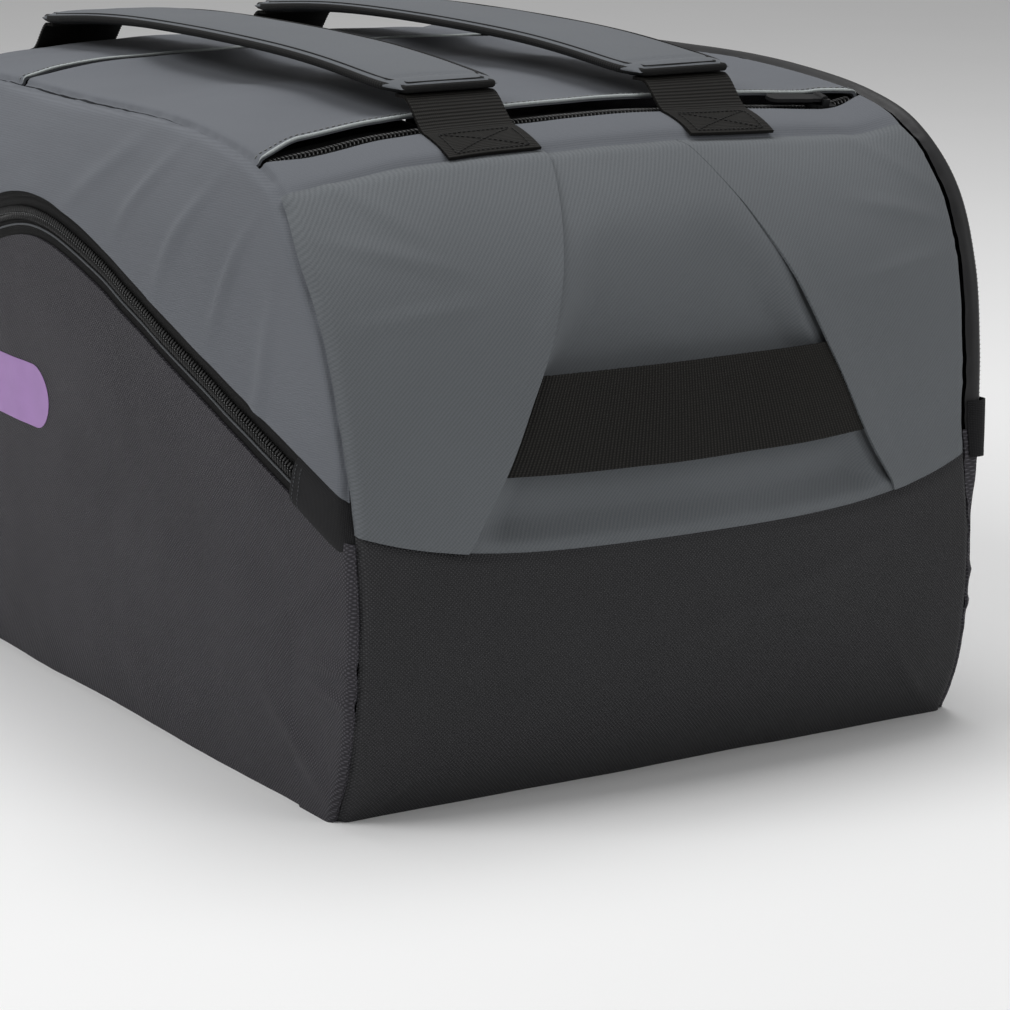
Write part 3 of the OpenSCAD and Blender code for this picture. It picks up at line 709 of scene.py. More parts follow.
for sign, tag in ENDS:
    rear = sign < 0
    panel(f"end_lower_{tag}", [(150, 72, lower_end, (0.36, 0.15), flat_end)], WALL * 0.5, (1, 0, 0), end_coat_painted_shade,
          "bag", (f"end_band_{tag}",), rear=rear)
    panel(f"end_upper_{tag}", [(44, UP_ROWS, wing(k), (0.09, 0.17), flat_end) for k in (-1, 1)], WALL * 0.5,
          (1, 0, 0), grey_weave, "bag", (f"end_panel_{tag}",), rear=rear)
    panel(f"end_recess_{tag}", [(150, UP_ROWS, insert_sheet, (0.17, 0.17), flat_end)], WALL * 0.4, (1, 0, 0),
          grey_weave, "bag", (f"handle_insert_{tag}",), rear=rear)

# %% [markdown]
# The grab handle is a length of wide webbing, sewn down at both sides of the recess. Its edges are
# slightly scalloped, because the weft loops turn there. It stands off the recess, so a hand fits
# behind it.

# %% The grab handles
def handle_point(u, w):
    z = HANDLE_Z + HANDLE_HALF * (2 * w - 1)
    half = mix(HANDLE_BOTTOM, HANDLE_TOP, w) + 5 * mm
    y = half * (2 * u - 1)
    scallop = SCALLOP * math.cos(2 * math.pi * y / RIB) * (abs(2 * w - 1) ** 12)
    z += math.copysign(scallop, w - 0.5) if abs(w - 0.5) > 0.4 else 0
    z -= 2.0 * mm * (1 - (y / half) ** 2) * (1 - w)
    t = at_height(z - 4 * mm)
    v = y / seam(t)[1]
    bow = 0.9 * mm * noise(Vector((y * 24, w * 1.4, 9))) + 1.2 * mm * (1 - (y / half) ** 2)
    fold = insert_half(z)
    lift = -1.8 * mm * ramp((abs(y) - fold + 0.015) / 0.013)
    lift -= 6 * mm * ramp((abs(y) - fold + 1 * mm) / (5 * mm))
    x, _, _, share = seam(t)
    ox, oz = seam_out(t)
    k = END_SWELL * share * (1 - v * v) + bow + lift + 0.4 * mm
    return Vector((x + k * ox, y, z + k * oz * 0.3))


for sign, tag in ENDS:
    panel(f"handle_webbing_{tag}", [(280, 24, handle_point, (0.20, 0.044))], WEB_T, (1, 0, 0), black_webbing,
          "bag", (f"grab_handle_{tag}",), rear=sign < 0)

# %% [markdown]
# Over the top run a narrow strip, the first zip, the top panel with its bound edge folded over that
# zip, a second zip and the rear panel. The folded edges stand a few millimetres proud, and the
# slots close to a point at each side of the bag, where both cloths are sewn into the end seam.

# %% The top panels
def close_up(v):
    """1 over the middle of the bag and 0 where the slot runs out at the side seams."""
    return ramp((1 - abs(v)) / 0.16)


def top_sheet(x_front, x_rear, lip_front=0.0, lip_rear=0.0, join_front=False):
    def place(u, w):
        v = 2 * u - 1
        a = x_front(v)
        b = x_rear(v)
        ta, tb = at_length(a), at_length(b)
        t = mix(ta, tb, w)
        d_front = abs(seam(t)[0] - a)
        d_rear = abs(seam(t)[0] - b)
        lift = lip_front * bell(d_front / LIP_R) * close_up(v)
        lift += lip_rear * bell(d_rear / LIP_R) * close_up(v)
        if join_front:
            lift -= 2.4 * mm * bell(d_front / SEAM_ROLL) * (1 - abs(v) ** 8)
        return Vector(shell(t, v, -lift))
    return place


def edge_line(x, spread):
    """An edge across the top: straight in the middle, and closing on the zip line at the sides."""
    return lambda v: x + spread * (1 - close_up(v))


strip_edge = edge_line(FRONT_ZIP_X + TOP_SLOT / 2, -6 * mm)
front_edge = edge_line(FRONT_ZIP_X - TOP_SLOT / 2 + 2 * mm, 6 * mm)
back_edge = edge_line(-REAR_ZIP_X + TOP_SLOT / 2 - 3 * mm, -5 * mm)
rear_edge = edge_line(-REAR_ZIP_X - TOP_SLOT / 2, 5 * mm)
end_edge = lambda v: SEAM_X
rear_end = lambda v: -SEAM_X

panel("top_strip_cloth", [(190, 16, top_sheet(end_edge, strip_edge, join_front=True), (0.36, 0.026))],
      WALL * 0.5, (0, 0, 1), grey_side, "bag", ("top_strip",))
panel("top_panel_cloth", [(190, 130, top_sheet(front_edge, back_edge, FRONT_LIP, 2.5 * mm), (0.36, 0.26))],
      WALL * 0.5, (0, 0, 1), grey_side, "bag", ("top_panel",))
panel("rear_panel_cloth", [(190, 90, top_sheet(rear_edge, rear_end, REAR_LIP, 0), (0.36, 0.17))],
      WALL * 0.5, (0, 0, 1), grey_side, "bag", ("rear_panel",))

# %% [markdown]
# The near side is one long cut. The arched zip runs over it from corner to corner. Above the zip is
# grey weave, and below it the coated cloth runs from the base to the zip in two pieces: the lower
# wall, and above it the door, whose foot is the hinge.

# %% The near side
ARCH_END = HALF_L - ARCH_TRIM
ARCH_SLOPE = (ARCH_H - HINGE_H - ARCH_FOOT) / (math.hypot(ARCH_END, ARCH_TURN) - ARCH_TURN)


def arch(x, e=0.0):
    """A point of the arched line at x, moved a distance e towards the top seam."""
    z = ARCH_H - ARCH_SLOPE * (math.hypot(x, ARCH_TURN) - ARCH_TURN)
    slope = -ARCH_SLOPE * x / math.hypot(x, ARCH_TURN)
    n = math.hypot(slope, 1)
    return x - e * slope / n, z + e / n


def meet(e):
    """Where the arched line, moved by e, runs into the end seam: its x and the seam's t."""
    lo, hi = 0.20, HALF_L + 0.02
    for step in range(40):
        mid = (lo + hi) / 2
        x, z = arch(mid, e)
        if x < seam(at_height(max(z, 1 * mm)))[0]:
            lo = mid
        else:
            hi = mid
    return lo, at_height(arch(lo, e)[1])


def side_between(s, lower, upper, seam_side, waves, edge_lip):
    """A sheet between two lines on a side. seam_side(u) is the t of the seam at its upper line."""
    def place(u, w):
        ax, az = lower(u)
        bx, bz = upper(u)
        x, z = mix(ax, bx, w), mix(az, bz, w)
        span = math.hypot(bx - ax, bz - az)
        t = seam_side(u)
        away = (1 - w) * span
        d = -edge_lip * bell(w * span / (9 * mm))
        for one in waves:
            d -= crease(x, z, *one)
        return Vector(side(x, z, s, d, t, away))
    return place


def flat_side(co):
    return co.x, co.z


TOP_X, TOP_T = meet(ZIP_HALF - 1 * mm)
near_top = side_between(
    -1, lambda u: arch(mix(TOP_X, -TOP_X, u), ZIP_HALF - 1 * mm),
    lambda u: seam(mix(TOP_T, FULL - TOP_T, u))[0:3:2],
    lambda u: mix(TOP_T, FULL - TOP_T, u),
    [(0.160, 0.262, 0.90, 0.060, 5 * mm, 2.4 * mm), (0.118, 0.280, 0.80, 0.055, 5 * mm, 2.0 * mm),
     (0.205, 0.245, 1.0, 0.055, 4 * mm, 2.2 * mm), (0.232, 0.205, 1.25, 0.06, 5 * mm, 1.8 * mm),
     (0.070, 0.283, 0.62, 0.06, 6 * mm, 2.1 * mm), (-0.05, 0.280, -0.5, 0.06, 7 * mm, 1.2 * mm),
     (-0.16, 0.262, -0.9, 0.05, 5 * mm, 1.4 * mm)], 1.2 * mm)
panel("near_side_cloth", [(260, 60, near_top, (0.6, 0.1), flat_side)], WALL * 0.5, (0, -1, 0), grey_side,
      "bag", ("side_panel",))

DOOR_X = 0.2512
FOLD_Z = 0.120
HANG = -ZIP_HALF + 1 * mm
WRINKLES = [(0.285, 0.076, 0.10, 0.036, 3.2 * mm, 2.4 * mm), (0.288, 0.062, -0.14, 0.032, 2.6 * mm, 2.0 * mm),
            (0.262, 0.104, 0.5, 0.06, 6 * mm, 1.8 * mm), (0.255, 0.030, -0.6, 0.06, 6 * mm, 1.6 * mm),
            (0.20, 0.085, 0.15, 0.12, 12 * mm, 0.9 * mm), (0.06, 0.110, -0.1, 0.16, 14 * mm, 0.9 * mm),
            (-0.14, 0.090, 0.12, 0.15, 12 * mm, 1.0 * mm),
            (-0.28, 0.074, -0.10, 0.03, 3 * mm, 1.2 * mm)]


def far_bulge(s, z, away):
    if s < 0:
        return 0.0
    r = roll_radius(z) - 0.5 * mm
    return r * math.sqrt(1 - (1 - min(away / max(r, 4 * mm), 1)) ** 2) * bulge_fade(away)


def corner_sheet(s, upper_z, sign):
    """The coated cloth between the door's side and the end seam, from the base up."""
    def place(u, w):
        z = w * upper_z(u)
        t = at_height(z)
        edge = seam(t)[0]
        x = mix(DOOR_X, edge, u) * sign
        tt = t if sign > 0 else FULL - t
        d = sum(-crease(x, z, *one) for one in WRINKLES)
        p = side(x, z, s, d, tt, edge - abs(x))
        p[1] += far_bulge(s, z, edge - abs(x))
        return Vector(p)
    return place


def flat_sheet(s, low, high):
    """The coated cloth between two heights, inside the door's width."""
    def place(u, w):
        x = mix(DOOR_X, -DOOR_X, u)
        z = mix(low(x), high(x), w)
        away = seam(at_height(z))[0] - abs(x)
        t = at_height(z) if x > 0 else FULL - at_height(z)
        d = sum(-crease(x, z, *one) for one in WRINKLES)
        p = side(x, z, s, d, t, away)
        p[1] += far_bulge(s, z, away)
        return Vector(p)
    return place


def hang_z(x):
    """Height of the door's upper edge above a point of the hinge line."""
    lo, hi = 0.0, 0.30
    for step in range(30):
        mid = (lo + hi) / 2
        if arch(mid, HANG)[0] < abs(x):
            lo = mid
        else:
            hi = mid
    return arch(lo, HANG)[1]


def corner_top(u):
    across = mix(DOOR_X, seam(at_height(HINGE_H))[0], u)
    return min(hang_z(across) + 6 * mm * ramp(u * 4), CORNER_TOP)


for s, tag, looks in ((-1, "near", (0, -1, 0)), (1, "far", (0, 1, 0))):
    tall = corner_top if s < 0 else (lambda u: CORNER_TOP)
    corners = [(34, 56, corner_sheet(s, tall, k), (0.05, 0.14), flat_side) for k in (1, -1)]
    middle = (170, 46, flat_sheet(s, lambda x: 0.0, lambda x: FOLD_Z), (0.5, 0.12), flat_side)
    panel(f"{tag}_lower_wall", corners + [middle], WALL * 0.4, looks, side_coat, "bag",
          (f"side_wall_{tag}",))

door = panel("near_door_cloth", [(170, 50, flat_sheet(-1, lambda x: FOLD_Z, hang_z), (0.5, 0.12), flat_side)],
             WALL * 0.4, (0, -1, 0), side_coat, "arch_door", ("door_near",), ride=False)
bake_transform(door)

# %% [markdown]
# A rounded print sits on the door. It is a thin layer of ink, so it is a skin a fraction of a
# millimetre above the cloth, cut to a pill shape by squaring the circle's map a little.

# %% The print on the door
PILL_X, PILL_Z, PILL_HALF, PILL_R = -0.059, 0.152, 0.060, 0.017


def pill(u, w):
    a = PILL_HALF * math.sin(math.pi * (u - 0.5))
    past = max(abs(a) - (PILL_HALF - PILL_R), 0)
    b = (2 * w - 1) * math.sqrt(max(PILL_R ** 2 - past ** 2, 0))
    x = PILL_X + a
    away = seam(at_height(PILL_Z))[0] - abs(x)
    return Vector(side(x, PILL_Z + b, -1, -0.3 * mm, at_height(PILL_Z), away))


pill_mesh = panel("lilac_pill", [(90, 30, pill, (0.1, 0.03))], 0.2 * mm, (0, -1, 0), lilac, "arch_door",
                  (), ride=False)
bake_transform(pill_mesh)

# %% [markdown]
# A coil zip is two tapes, each with a nylon coil sewn to its edge. The coil's loops are the teeth:
# they lie across the line on a slant and lock between each other. Each tooth here is a small
# flattened ball, placed and turned by its own matrix, which keeps a thousand of them light.

# %% Parts of a zip
PITCH = 2.2 * mm
TOOTH = (2.5 * mm, 0.62 * mm, 1.05 * mm)
SLANT = math.radians(24)


def tooth_matrix(at, along, up, slant, size):
    along = Vector(along).normalized()
    up = (Vector(up) - along * along.dot(Vector(up))).normalized()
    across = up.cross(along)
    frame_m = Matrix((across, along, up)).transposed().to_4x4()
    return Matrix.Translation(at) @ frame_m @ Matrix.Rotation(slant, 4, "Z") @ Matrix.Diagonal((*size, 1))


def path_points(place, step, n=900):
    """Evenly spaced points with directions on a line that place(u) gives."""
    line = [place(i / n) for i in range(n + 1)]
    runs = [0.0]
    for a, b in zip(line, line[1:]):
        runs.append(runs[-1] + (b - a).length)
    out = []
    for k in range(int(runs[-1] / step)):
        i = min(max(bisect_left(runs, (k + 0.5) * step), 1), n)
        f = ((k + 0.5) * step - runs[i - 1]) / max(runs[i] - runs[i - 1], 1e-9)
        out.append((line[i - 1].lerp(line[i], f), (line[i] - line[i - 1]).normalized()))
    return out


def beads(matrices, around, rows):
    """Many small balls, made a few at a time, because an operator walks the whole mesh it works on."""
    whole = bmesh.new()
    for start in range(0, len(matrices), 20):
        few = bmesh.new()
        for matrix in matrices[start:start + 20]:
            bmesh.ops.create_uvsphere(few, u_segments=around, v_segments=rows, radius=1, matrix=matrix)
        carrier = bpy.data.meshes.new("few")
        few.to_mesh(carrier)
        few.free()
        whole.from_mesh(carrier)
        bpy.data.meshes.remove(carrier)
    for face in whole.faces:
        face.smooth = True
    return whole


def teeth(name, row, up, sign, body, replaces=()):
    """One half of a coil: row(u) is its line, up looks outwards and sign says which half it is."""
    spots = path_points(row, PITCH)
    bm = beads([tooth_matrix(at, along, up, sign * SLANT, TOOTH) for at, along in spots], 8, 5)
    made = object_from(bm, name, zip_coil, body, replaces)
    print(name, len(spots), "teeth")
    return made


def stitches(name, lines, material, body, length=2.3 * mm, step=3.3 * mm, radius=0.34 * mm, up=(0, 0, 1)):
    """Short lengths of thread along lines, each one a small capsule that dips into the cloth."""
    bm = beads([tooth_matrix(at, along, up, 0, (radius, length / 2, radius))
                for line in lines for at, along in path_points(line, step, 300)], 6, 4)
    return object_from(bm, name, material, body)


def tube(name, line, radius, material, body, replaces=(), n=260, up=(0, 0, 1)):
    """A round cord or a rolled edge that follows a line."""
    def place(u, w):
        a, b = line(max(u - 0.002, 0)), line(min(u + 0.002, 1))
        along = (b - a).normalized()
        top = (Vector(up) - along * along.dot(Vector(up))).normalized()
        turn = 2 * math.pi * w
        r = radius * min(1.0, 40 * min(u, 1 - u) + 0.02)
        return line(u) + top * (r * math.cos(turn)) + top.cross(along) * (r * math.sin(turn))
    bm = bmesh.new()
    grid(bm, n, 10, place, (0.3, 0.006))
    weld(bm, 2e-6)
    return object_from(bm, name, material, body, replaces)


# %% The arched zip
ZIP_X, TAB_X = 0.266, 0.2565     # where the coil ends and where its tab begins


def on_arch(e, d):
    """A line beside the arched zip: e from its middle and d below the cloth."""
    def place(u):
        x, z = arch(mix(ZIP_X, -ZIP_X, u), e)
        return Vector(side(x, z, -1, d))
    return place


def tape(e0, e1, d0, d1, line, groove=()):
    """A tape between two offsets from a line, with grooves where it is stitched."""
    def place(u, w):
        e = mix(e0, e1, w)
        d = mix(d0, d1, w)
        for g in groove:
            d += 0.7 * mm * bell((e - g) / (0.9 * mm))
        return line(e, d)(u)
    return place


panel("arch_tape_fixed", [(260, 12, tape(1.2 * mm, ZIP_HALF + 1 * mm, 2.0 * mm, 1.0 * mm, on_arch, (8.6 * mm,)),
                           (0.62, 0.012))], TAPE_T, (0, -1, 0), zip_tape, "bag",
      ("arch_zip_fixed",))
panel("arch_tape_door", [(260, 12, tape(-ZIP_HALF - 1 * mm, -1.2 * mm, 1.4 * mm, 2.0 * mm, on_arch, (-9 * mm,)),
                          (0.62, 0.012))], TAPE_T, (0, -1, 0), zip_tape, "arch_door",
      ("arch_zip_door",))
teeth("arch_coil_fixed", on_arch(1.9 * mm, 0.6 * mm), (0, -1, 0), 1, "bag")
teeth("arch_coil_door", on_arch(-1.9 * mm, 0.6 * mm), (0, -1, 0), -1, "arch_door")
# Pale dots along the line where the two coils meet: painted highlights of the coil heads.
stitches("arch_coil_painted_highlight", [on_arch(0.0, -0.35 * mm)], pale_thread_and_highlight, "bag", length=0.8 * mm, step=PITCH,
         radius=0.26 * mm, up=(0, -1, 0))
tube("arch_cord", on_arch(-6.4 * mm, 0.9 * mm), 0.55 * mm, grey_thread, "arch_door", n=420,
     up=(0, -1, 0))


def arch_tab(sign):
    """The cloth tab that closes the end of the zip in the corner."""
    def place(u, w):
        e = mix(-ZIP_HALF - 0.5 * mm, ZIP_HALF - 0.5 * mm, w)
        x, z = arch(mix(TAB_X, meet(e)[0] - 0.4 * mm, u), e)
        bump = 2.4 * mm * (1 - abs(2 * w - 1) ** 4) * (1 - u ** 3) + 0.9 * mm * (1 - u ** 6) + 0.1 * mm
        t = at_height(z) if sign > 0 else FULL - at_height(z)
        return Vector(side(x * sign, z, -1, -bump, t, seam(at_height(z))[0] - x))
    return place


for sign, tag in ENDS:
    panel(f"arch_tab_{tag}", [(20, 16, arch_tab(sign), (0.04, 0.025))], TAB_T, (0, -1, 0), tab_cloth, "bag",
          ("arch_tabs",) if sign > 0 else ())
for sign, tag in ENDS:
    edge_a = lambda u, g=sign: arch_tab(g)(0.05, mix(0.06, 0.94, u)) + Vector((0, -0.15 * mm, 0))
    edge_b = lambda u, g=sign: arch_tab(g)(0.14, mix(0.06, 0.94, u)) + Vector((0, -0.15 * mm, 0))
    stitches(f"arch_tab_thread_{tag}", [edge_a, edge_b], grey_thread, "bag", length=1.5 * mm, step=2.2 * mm,
             radius=0.25 * mm, up=(0, -1, 0))

# %% [markdown]
# The far side opens as one long door. Its zip follows the end seam over the top of the bag, behind
# a wide smooth facing tape. The same kind of pieces are used again: a facing, two tapes, two coils
# and a cloth door.

# %% The far side
COIL_IN = FACING + 0.5 * mm
FAR_T = at_height(HINGE_H + 6 * mm)


def rolled(t, e, d=0.0):
    """A point e along the cloth from the far seam: it rolls over the edge before it goes down."""
    x, y, z, share = seam(t)
    ox, oz = seam_out(t)
    r = roll_radius(z)
    turn = min(e / r, math.pi / 2)
    inward = r * (1 - math.cos(turn)) + max(e - r * math.pi / 2, 0)
    pull = dip(e, run_at(t), 7)
    d += pull
    px = x - (inward + d * math.cos(turn)) * ox
    pz = z - (inward + d * math.cos(turn)) * oz
    py = side_y(x - inward * ox, z - inward * oz)
    py += r * math.sin(turn) * bulge_fade(inward) - d * math.sin(turn)
    return Vector(slouch([px, py, pz]))


def on_long(e, d):
    """A line beside the long zip: e inwards from the end seam and d below the cloth."""
    return lambda u: rolled(mix(FAR_T, FULL - FAR_T, u), e, d)


def facing_sheet(u, w):
    t = mix(FAR_T - 0.12, FULL - FAR_T + 0.12, u)
    e = w * (FACING - 0.5 * mm)
    groove = 0.5 * mm * bell((e - 9 * mm) / (0.8 * mm))
    return rolled(t, e, groove - 0.6 * mm * math.sin(math.pi * w))


panel("long_facing", [(420, 14, facing_sheet, (0.9, 0.013))], 0.9 * mm, (0, 1, 0), facing_tape, "bag",
      ("long_zip_fixed",))
panel("long_tape_fixed", [(420, 6, tape(COIL_IN - 3 * mm, COIL_IN + 3 * mm, 1.8 * mm, 1.8 * mm, on_long),
                           (0.9, 0.006))], TAPE_T, (0, 1, 0), zip_tape, "bag")
panel("long_tape_door", [(420, 8, tape(COIL_IN + 4.2 * mm, COIL_IN + 13 * mm, 1.8 * mm, 1.4 * mm, on_long),
                          (0.9, 0.009))], TAPE_T, (0, 1, 0), zip_tape, "long_door",
      ("long_zip_door",))
teeth("long_coil_fixed", on_long(COIL_IN + 1.6 * mm, 0.5 * mm), (0, 1, 0), 1, "bag")
teeth("long_coil_door", on_long(COIL_IN + 5.4 * mm, 0.5 * mm), (0, 1, 0), -1, "long_door")
# Pale dots along the line where the two coils meet: painted highlights of the coil heads.
stitches("long_coil_painted_highlight", [on_long(COIL_IN + 3.5 * mm, -0.35 * mm)], pale_thread_and_highlight, "bag", length=0.8 * mm,
         step=PITCH, radius=0.26 * mm, up=(0, 1, 0))


def far_inward(t):
    """How far the door's edge lies from the far seam, measured in the plane of the side."""
    r = roll_radius(seam(t)[2])
    e = COIL_IN + 10 * mm
    return r * (1 - math.cos(min(e / r, math.pi / 2))) + max(e - r * math.pi / 2, 0)


def far_upper(u):
    t = mix(FAR_T, FULL - FAR_T, u)
    x, y, z, share = seam(t)
    ox, oz = seam_out(t)
    return x - far_inward(t) * ox, z - far_inward(t) * oz


def far_sheet(u, w):
    ax, az = mix(DOOR_X, -DOOR_X, u), FOLD_Z
    bx, bz = far_upper(u)
    x, z = mix(ax, bx, w), mix(az, bz, w)
    away = far_inward(mix(FAR_T, FULL - FAR_T, u)) + (1 - w) * math.hypot(bx - ax, bz - az)
    d = -crease(x, z, 0.12, 0.22, 0.5, 0.12, 9 * mm, 1.3 * mm)
    d -= crease(x, z, -0.1, 0.2, -0.4, 0.13, 0.010, 1.3 * mm)
    d -= sum(crease(x, z, *one) for one in WRINKLES)
    p = side(x, z, 1, d, None, away)
    p[1] += far_bulge(1, z, away)
    return Vector(p)


far_door = panel("far_door_cloth", [(240, 60, far_sheet, (0.5, 0.19), flat_side)], WALL * 0.4, (0, 1, 0),
                 side_coat, "long_door", ("door_far",), ride=False)
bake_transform(far_door)


def long_tab(sign):
    def place(u, w):
        t = mix(at_height(HINGE_H - 6 * mm), at_height(HINGE_H + 0.022), u)
        e = mix(0.6 * mm, 0.027, w)
        bump = 1.2 * mm + 2.2 * mm * (1 - abs(2 * w - 1) ** 4)
        p = rolled(t, e, -bump)
        return Vector((p.x * sign, p.y, p.z))
    return place


for sign, tag in ENDS:
    panel(f"long_tab_{tag}", [(16, 14, long_tab(sign), (0.03, 0.027))], TAB_T, (0, 1, 0), tab_cloth, "bag",
          ("long_tabs",) if sign > 0 else ())

# %% [markdown]
# Each top zip sits in the gap between two folded edges, a little below them. The folded edge is
# bound with a pale piped tape, and a line of topstitching holds it down.

# %% Top zips and bindings
def on_top(x_line, e, d, spread=0.985):
    """A line across the top of the bag, e forward of x_line(v) and d below the cloth."""
    def place(u):
        v = mix(-spread, spread, u)
        return Vector(shell(at_length(x_line(v) + e), v, d))
    return place


TOP_UP = (0.2, 0, 1)
for tag, at_x in (("front", FRONT_ZIP_X), ("rear", -REAR_ZIP_X)):
    centre = lambda v, x=at_x: x
    line = lambda e, d, c=centre: on_top(c, e, d)
    wide = TOP_SLOT / 2 + 3 * mm
    panel(f"top_zip_tape_{tag}", [(200, 20, tape(-wide, wide, 3.6 * mm, 3.6 * mm, line), (0.36, 0.024))],
          TAPE_T, (0, 0, 1), zip_tape, "bag", (f"top_zip_{tag}",))
    teeth(f"top_coil_{tag}_a", on_top(centre, 1.6 * mm, 2.5 * mm, 0.95), TOP_UP, 1, "bag")
    teeth(f"top_coil_{tag}_b", on_top(centre, -1.6 * mm, 2.5 * mm, 0.95), TOP_UP, -1, "bag")


def bound_edge(x_line, lift, back):
    def place(u):
        v = mix(-0.992, 0.992, u)
        rise = lift * bell(back / LIP_R) * close_up(v)
        return Vector(shell(at_length(x_line(v) - back), v, -rise - (0.4 if back else 0.2) * mm))
    return place


for tag, edge, lip in (("front", front_edge, FRONT_LIP), ("rear", rear_edge, REAR_LIP)):
    tube(f"{tag}_piping", bound_edge(edge, lip, 0.0), 0.85 * mm, pale_cloth, "bag",
         (f"{tag}_binding",), n=300)
stitches("front_topstitch", [bound_edge(front_edge, FRONT_LIP, 4.2 * mm)], pale_thread_and_highlight, "bag")
stitches("rear_topstitch", [bound_edge(rear_edge, REAR_LIP, 4.0 * mm)], pale_thread_and_highlight, "bag")

# %% [markdown]
# The carrying straps are padded: foam between two cloths, bound all round with black tape. Each is
# one closed, pillow-like skin over both halves. Wide webbing leaves each end and is sewn to the bag.

# %% Straps and webbing
STRAP_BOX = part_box("strap_right_front")
STRAP_END = STRAP_BOX[1].x
STRAP_LOW, STRAP_HIGH = STRAP_BOX[0].z, STRAP_BOX[1].z
print("strap ends at", round(STRAP_END, 3), "between", round(STRAP_LOW, 4), round(STRAP_HIGH, 4))


def strap_mid(x):
    """Height of the middle of the strap: the padding makes it bow up a little between its ends."""
    back = max(STRAP_END - abs(x), 0)
    return (STRAP_LOW + STRAP_HIGH) / 2 + 9 * mm * (1 - math.exp(-((back / 0.075) ** 1.5)))


def strap_skin(side_sign):
    y0 = side_sign * STRAP_Y

    def place(u, w):
        x = mix(STRAP_END, -STRAP_END, u)
        turn = 2 * math.pi * w
        c, s = math.cos(turn), math.sin(turn)
        close = max(1 - (abs(x) / STRAP_END) ** 60, 0) ** 0.5
        half = STRAP_W / 2 * (0.90 + 0.10 * ramp((STRAP_END - abs(x)) / 0.012))
        y = half * math.copysign(abs(c) ** 0.55, c)
        flat = abs(y) / half
        thick = STRAP_T / 2 * (1 - 0.42 * flat ** 7) * (0.72 + 0.28 * ramp((STRAP_END - abs(x)) / 0.012))
        thick *= close
        dent = 1.1 * mm * bell((STRAP_END - abs(x) - 0.016) / (2.5 * mm)) * (1 if s > 0 else 0)
        puff = 0.7 * mm * noise(Vector((x * 22, y * 30, side_sign * 3))) * (1 - flat ** 4)
        z = strap_mid(x) + math.copysign(abs(s) ** 0.62, s) * thick
        z += (puff - dent) * (1 if s > 0 else 0.3) * close * abs(s)
        return Vector((x, y0 + y, z))
    return place


def strap_rim(side_sign, inset=0.0):
    """The bound edge of a strap, once round."""
    y0 = side_sign * STRAP_Y
    hx, hy = STRAP_END - 0.4 * mm - inset, STRAP_W / 2 - 0.2 * mm - inset

    def place(u):
        around = 2 * math.pi * u
        c, s = math.cos(around), math.sin(around)
        k = (abs(c) ** 60 + abs(s) ** 60) ** (-1 / 60)
        a, b = c * k, s * k
        round_off = 5 * mm * (abs(a * b) ** 24)
        narrow = 1 - 0.10 * (1 - ramp((hx - abs(hx * a)) / 0.012))
        return Vector(((hx - round_off) * a, y0 + (hy - round_off) * b * narrow, strap_mid(hx * a)))
    return place


def closed_skin(name, place, nu, nw, materials, under):
    bm = bmesh.new()
    grid(bm, nu, nw, place, (2 * STRAP_END, 0.13))
    weld(bm, 2e-5)
    for face in bm.faces:
        face.smooth = True
        if face.normal.z < -0.25:
            face.material_index = under
    return object_from(bm, name, materials, None, (), ride=False)


def web_line(u, w, y0, sign):
    """Webbing from the end seam up to the strap: sewn flat first, then lifting off the cloth."""
    y = y0 + WEB_W / 2 * (2 * w - 1)
    scallop = SCALLOP * math.cos(2 * math.pi * u * 0.062 / RIB) if w in (0.0, 1.0) else 0.0
    y += scallop * (1 if w > 0.5 else -1)
    last = at_length(SEAM_X - 0.019)
    t = mix(TOP_SEAM + 0.01, last, min(u / SEWN, 1))
    flat = Vector(shell(t, y / seam(t)[1], -1.3 * mm))
    flat.y = y
    if u > SEWN:
        far_end = Vector((STRAP_END - 0.010, y, strap_mid(STRAP_END) - 2.7 * mm))
        k = (u - SEWN) / (1 - SEWN)
        flat = Vector((mix(flat.x, far_end.x, k), y, mix(flat.z, far_end.z, ramp(min(k * 1.35, 1)))))
    return Vector((flat.x * sign, flat.y, flat.z))


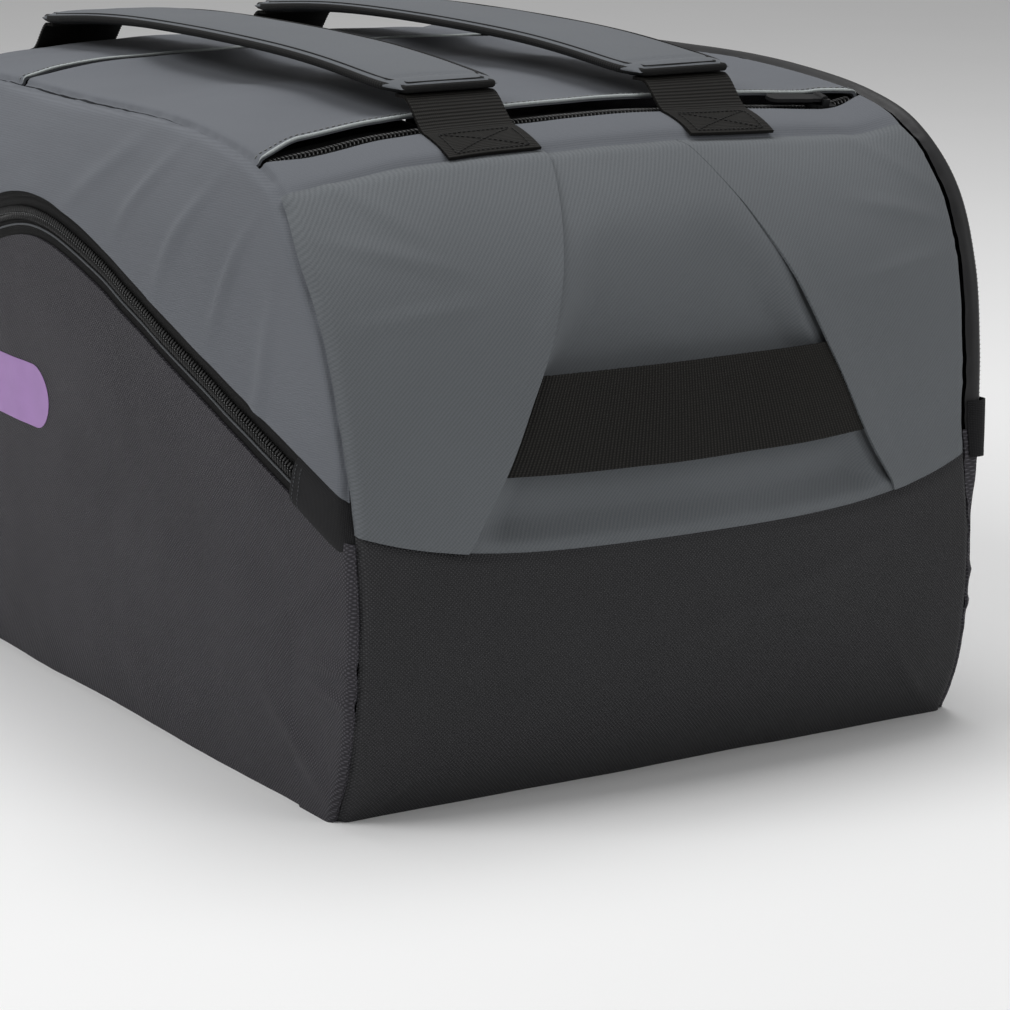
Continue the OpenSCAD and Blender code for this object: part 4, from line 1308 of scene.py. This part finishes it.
for side_sign, tag in ((-1, "left"), (1, "right")):
    skin = closed_skin(f"strap_{tag}", strap_skin(side_sign), 170, 40, [strap_cloth, black_binding], 1)
    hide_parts(f"strap_{tag}_front", f"strap_{tag}_rear")
    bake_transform(skin)
    for k, (cut, radius) in enumerate(((0.0, 1.7 * mm), (3.4 * mm, 0.3 * mm))):
        bm = bmesh.new()
        rim = strap_rim(side_sign, cut)

        def around(u, w, r=radius, rim=rim, lift=(0 if k == 0 else 2.7 * mm)):
            a, b = rim((u - 0.0005) % 1), rim((u + 0.0005) % 1)
            along = (b - a).normalized()
            out = along.cross(Vector((0, 0, 1)))
            c, s = math.cos(2 * math.pi * w), math.sin(2 * math.pi * w)
            return rim(u) + out * (r * c) + Vector((0, 0, r * 1.15 * s + lift))
        grid(bm, 420, 10, around, (0.94, 0.01))
        weld(bm, 2e-6)
        bound = object_from(bm, f"strap_{tag}_edge_{k}", black_binding if k == 0 else black_thread, None,
                            (), ride=False)
        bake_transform(bound)
    for sign, end in ENDS:
        web = panel(f"webbing_{tag}_{end}",
                    [(90, 30, lambda u, w, g=sign: web_line(u if g > 0 else mix(SEWN, 1, u), w,
                                                            side_sign * STRAP_Y, g), (0.062, 0.050))],
                    1.6 * mm, (0, 0, 1), black_webbing, None, (f"web_{tag}_{end}",), ride=False)
        if end == "front":
            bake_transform(web)
        else:
            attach(web, f"{tag}_rear_web")
            panel(f"webbing_{tag}_sewn",
                  [(40, 30, lambda u, w, g=sign: web_line(u * (SEWN + 0.01), w,
                                                     side_sign * STRAP_Y, g), (0.028, 0.050))],
                  1.6 * mm, (0, 0, 1), black_webbing, "bag")

        def mark(a, b, sign=sign, side_sign=side_sign):
            def place(u):
                p = web_line(mix(a[0], b[0], u), mix(a[1], b[1], u), side_sign * STRAP_Y, sign)
                return p + Vector((0, 0, 0.35 * mm))
            return place
        lo, hi, left, right = 0.04, 0.40, 0.10, 0.90
        box = [mark((lo, left), (lo, right)), mark((hi, left), (hi, right)), mark((lo, left), (hi, left)),
               mark((lo, right), (hi, right)), mark((lo, left), (hi, right)), mark((lo, right), (hi, left))]
        stitches(f"web_thread_{tag}_{end}", box, black_thread, "bag", length=2.0 * mm, step=2.6 * mm)

# %% [markdown]
# What is left of the CAD are the hard and hidden parts: the board in the base, the divider, the
# base cloth, the sliders and their pullers. Their shapes stay as designed, and each gets a finish.

# %% Finish the CAD parts that stay
STAY = {"base_panel": plain("base_cloth", (0.03, 0.03, 0.031), 0.6, scale=500), "base_board": board,
        "divider": lining}
for name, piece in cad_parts.items():
    if name.startswith("slider_"):
        STAY[name] = slider_paint
    if name.startswith("puller_"):
        STAY[name] = puller_rubber
for name, material in STAY.items():
    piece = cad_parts[name]
    piece.data.materials.clear()
    piece.data.materials.append(material)
print(len(STAY), "CAD parts keep their shape")
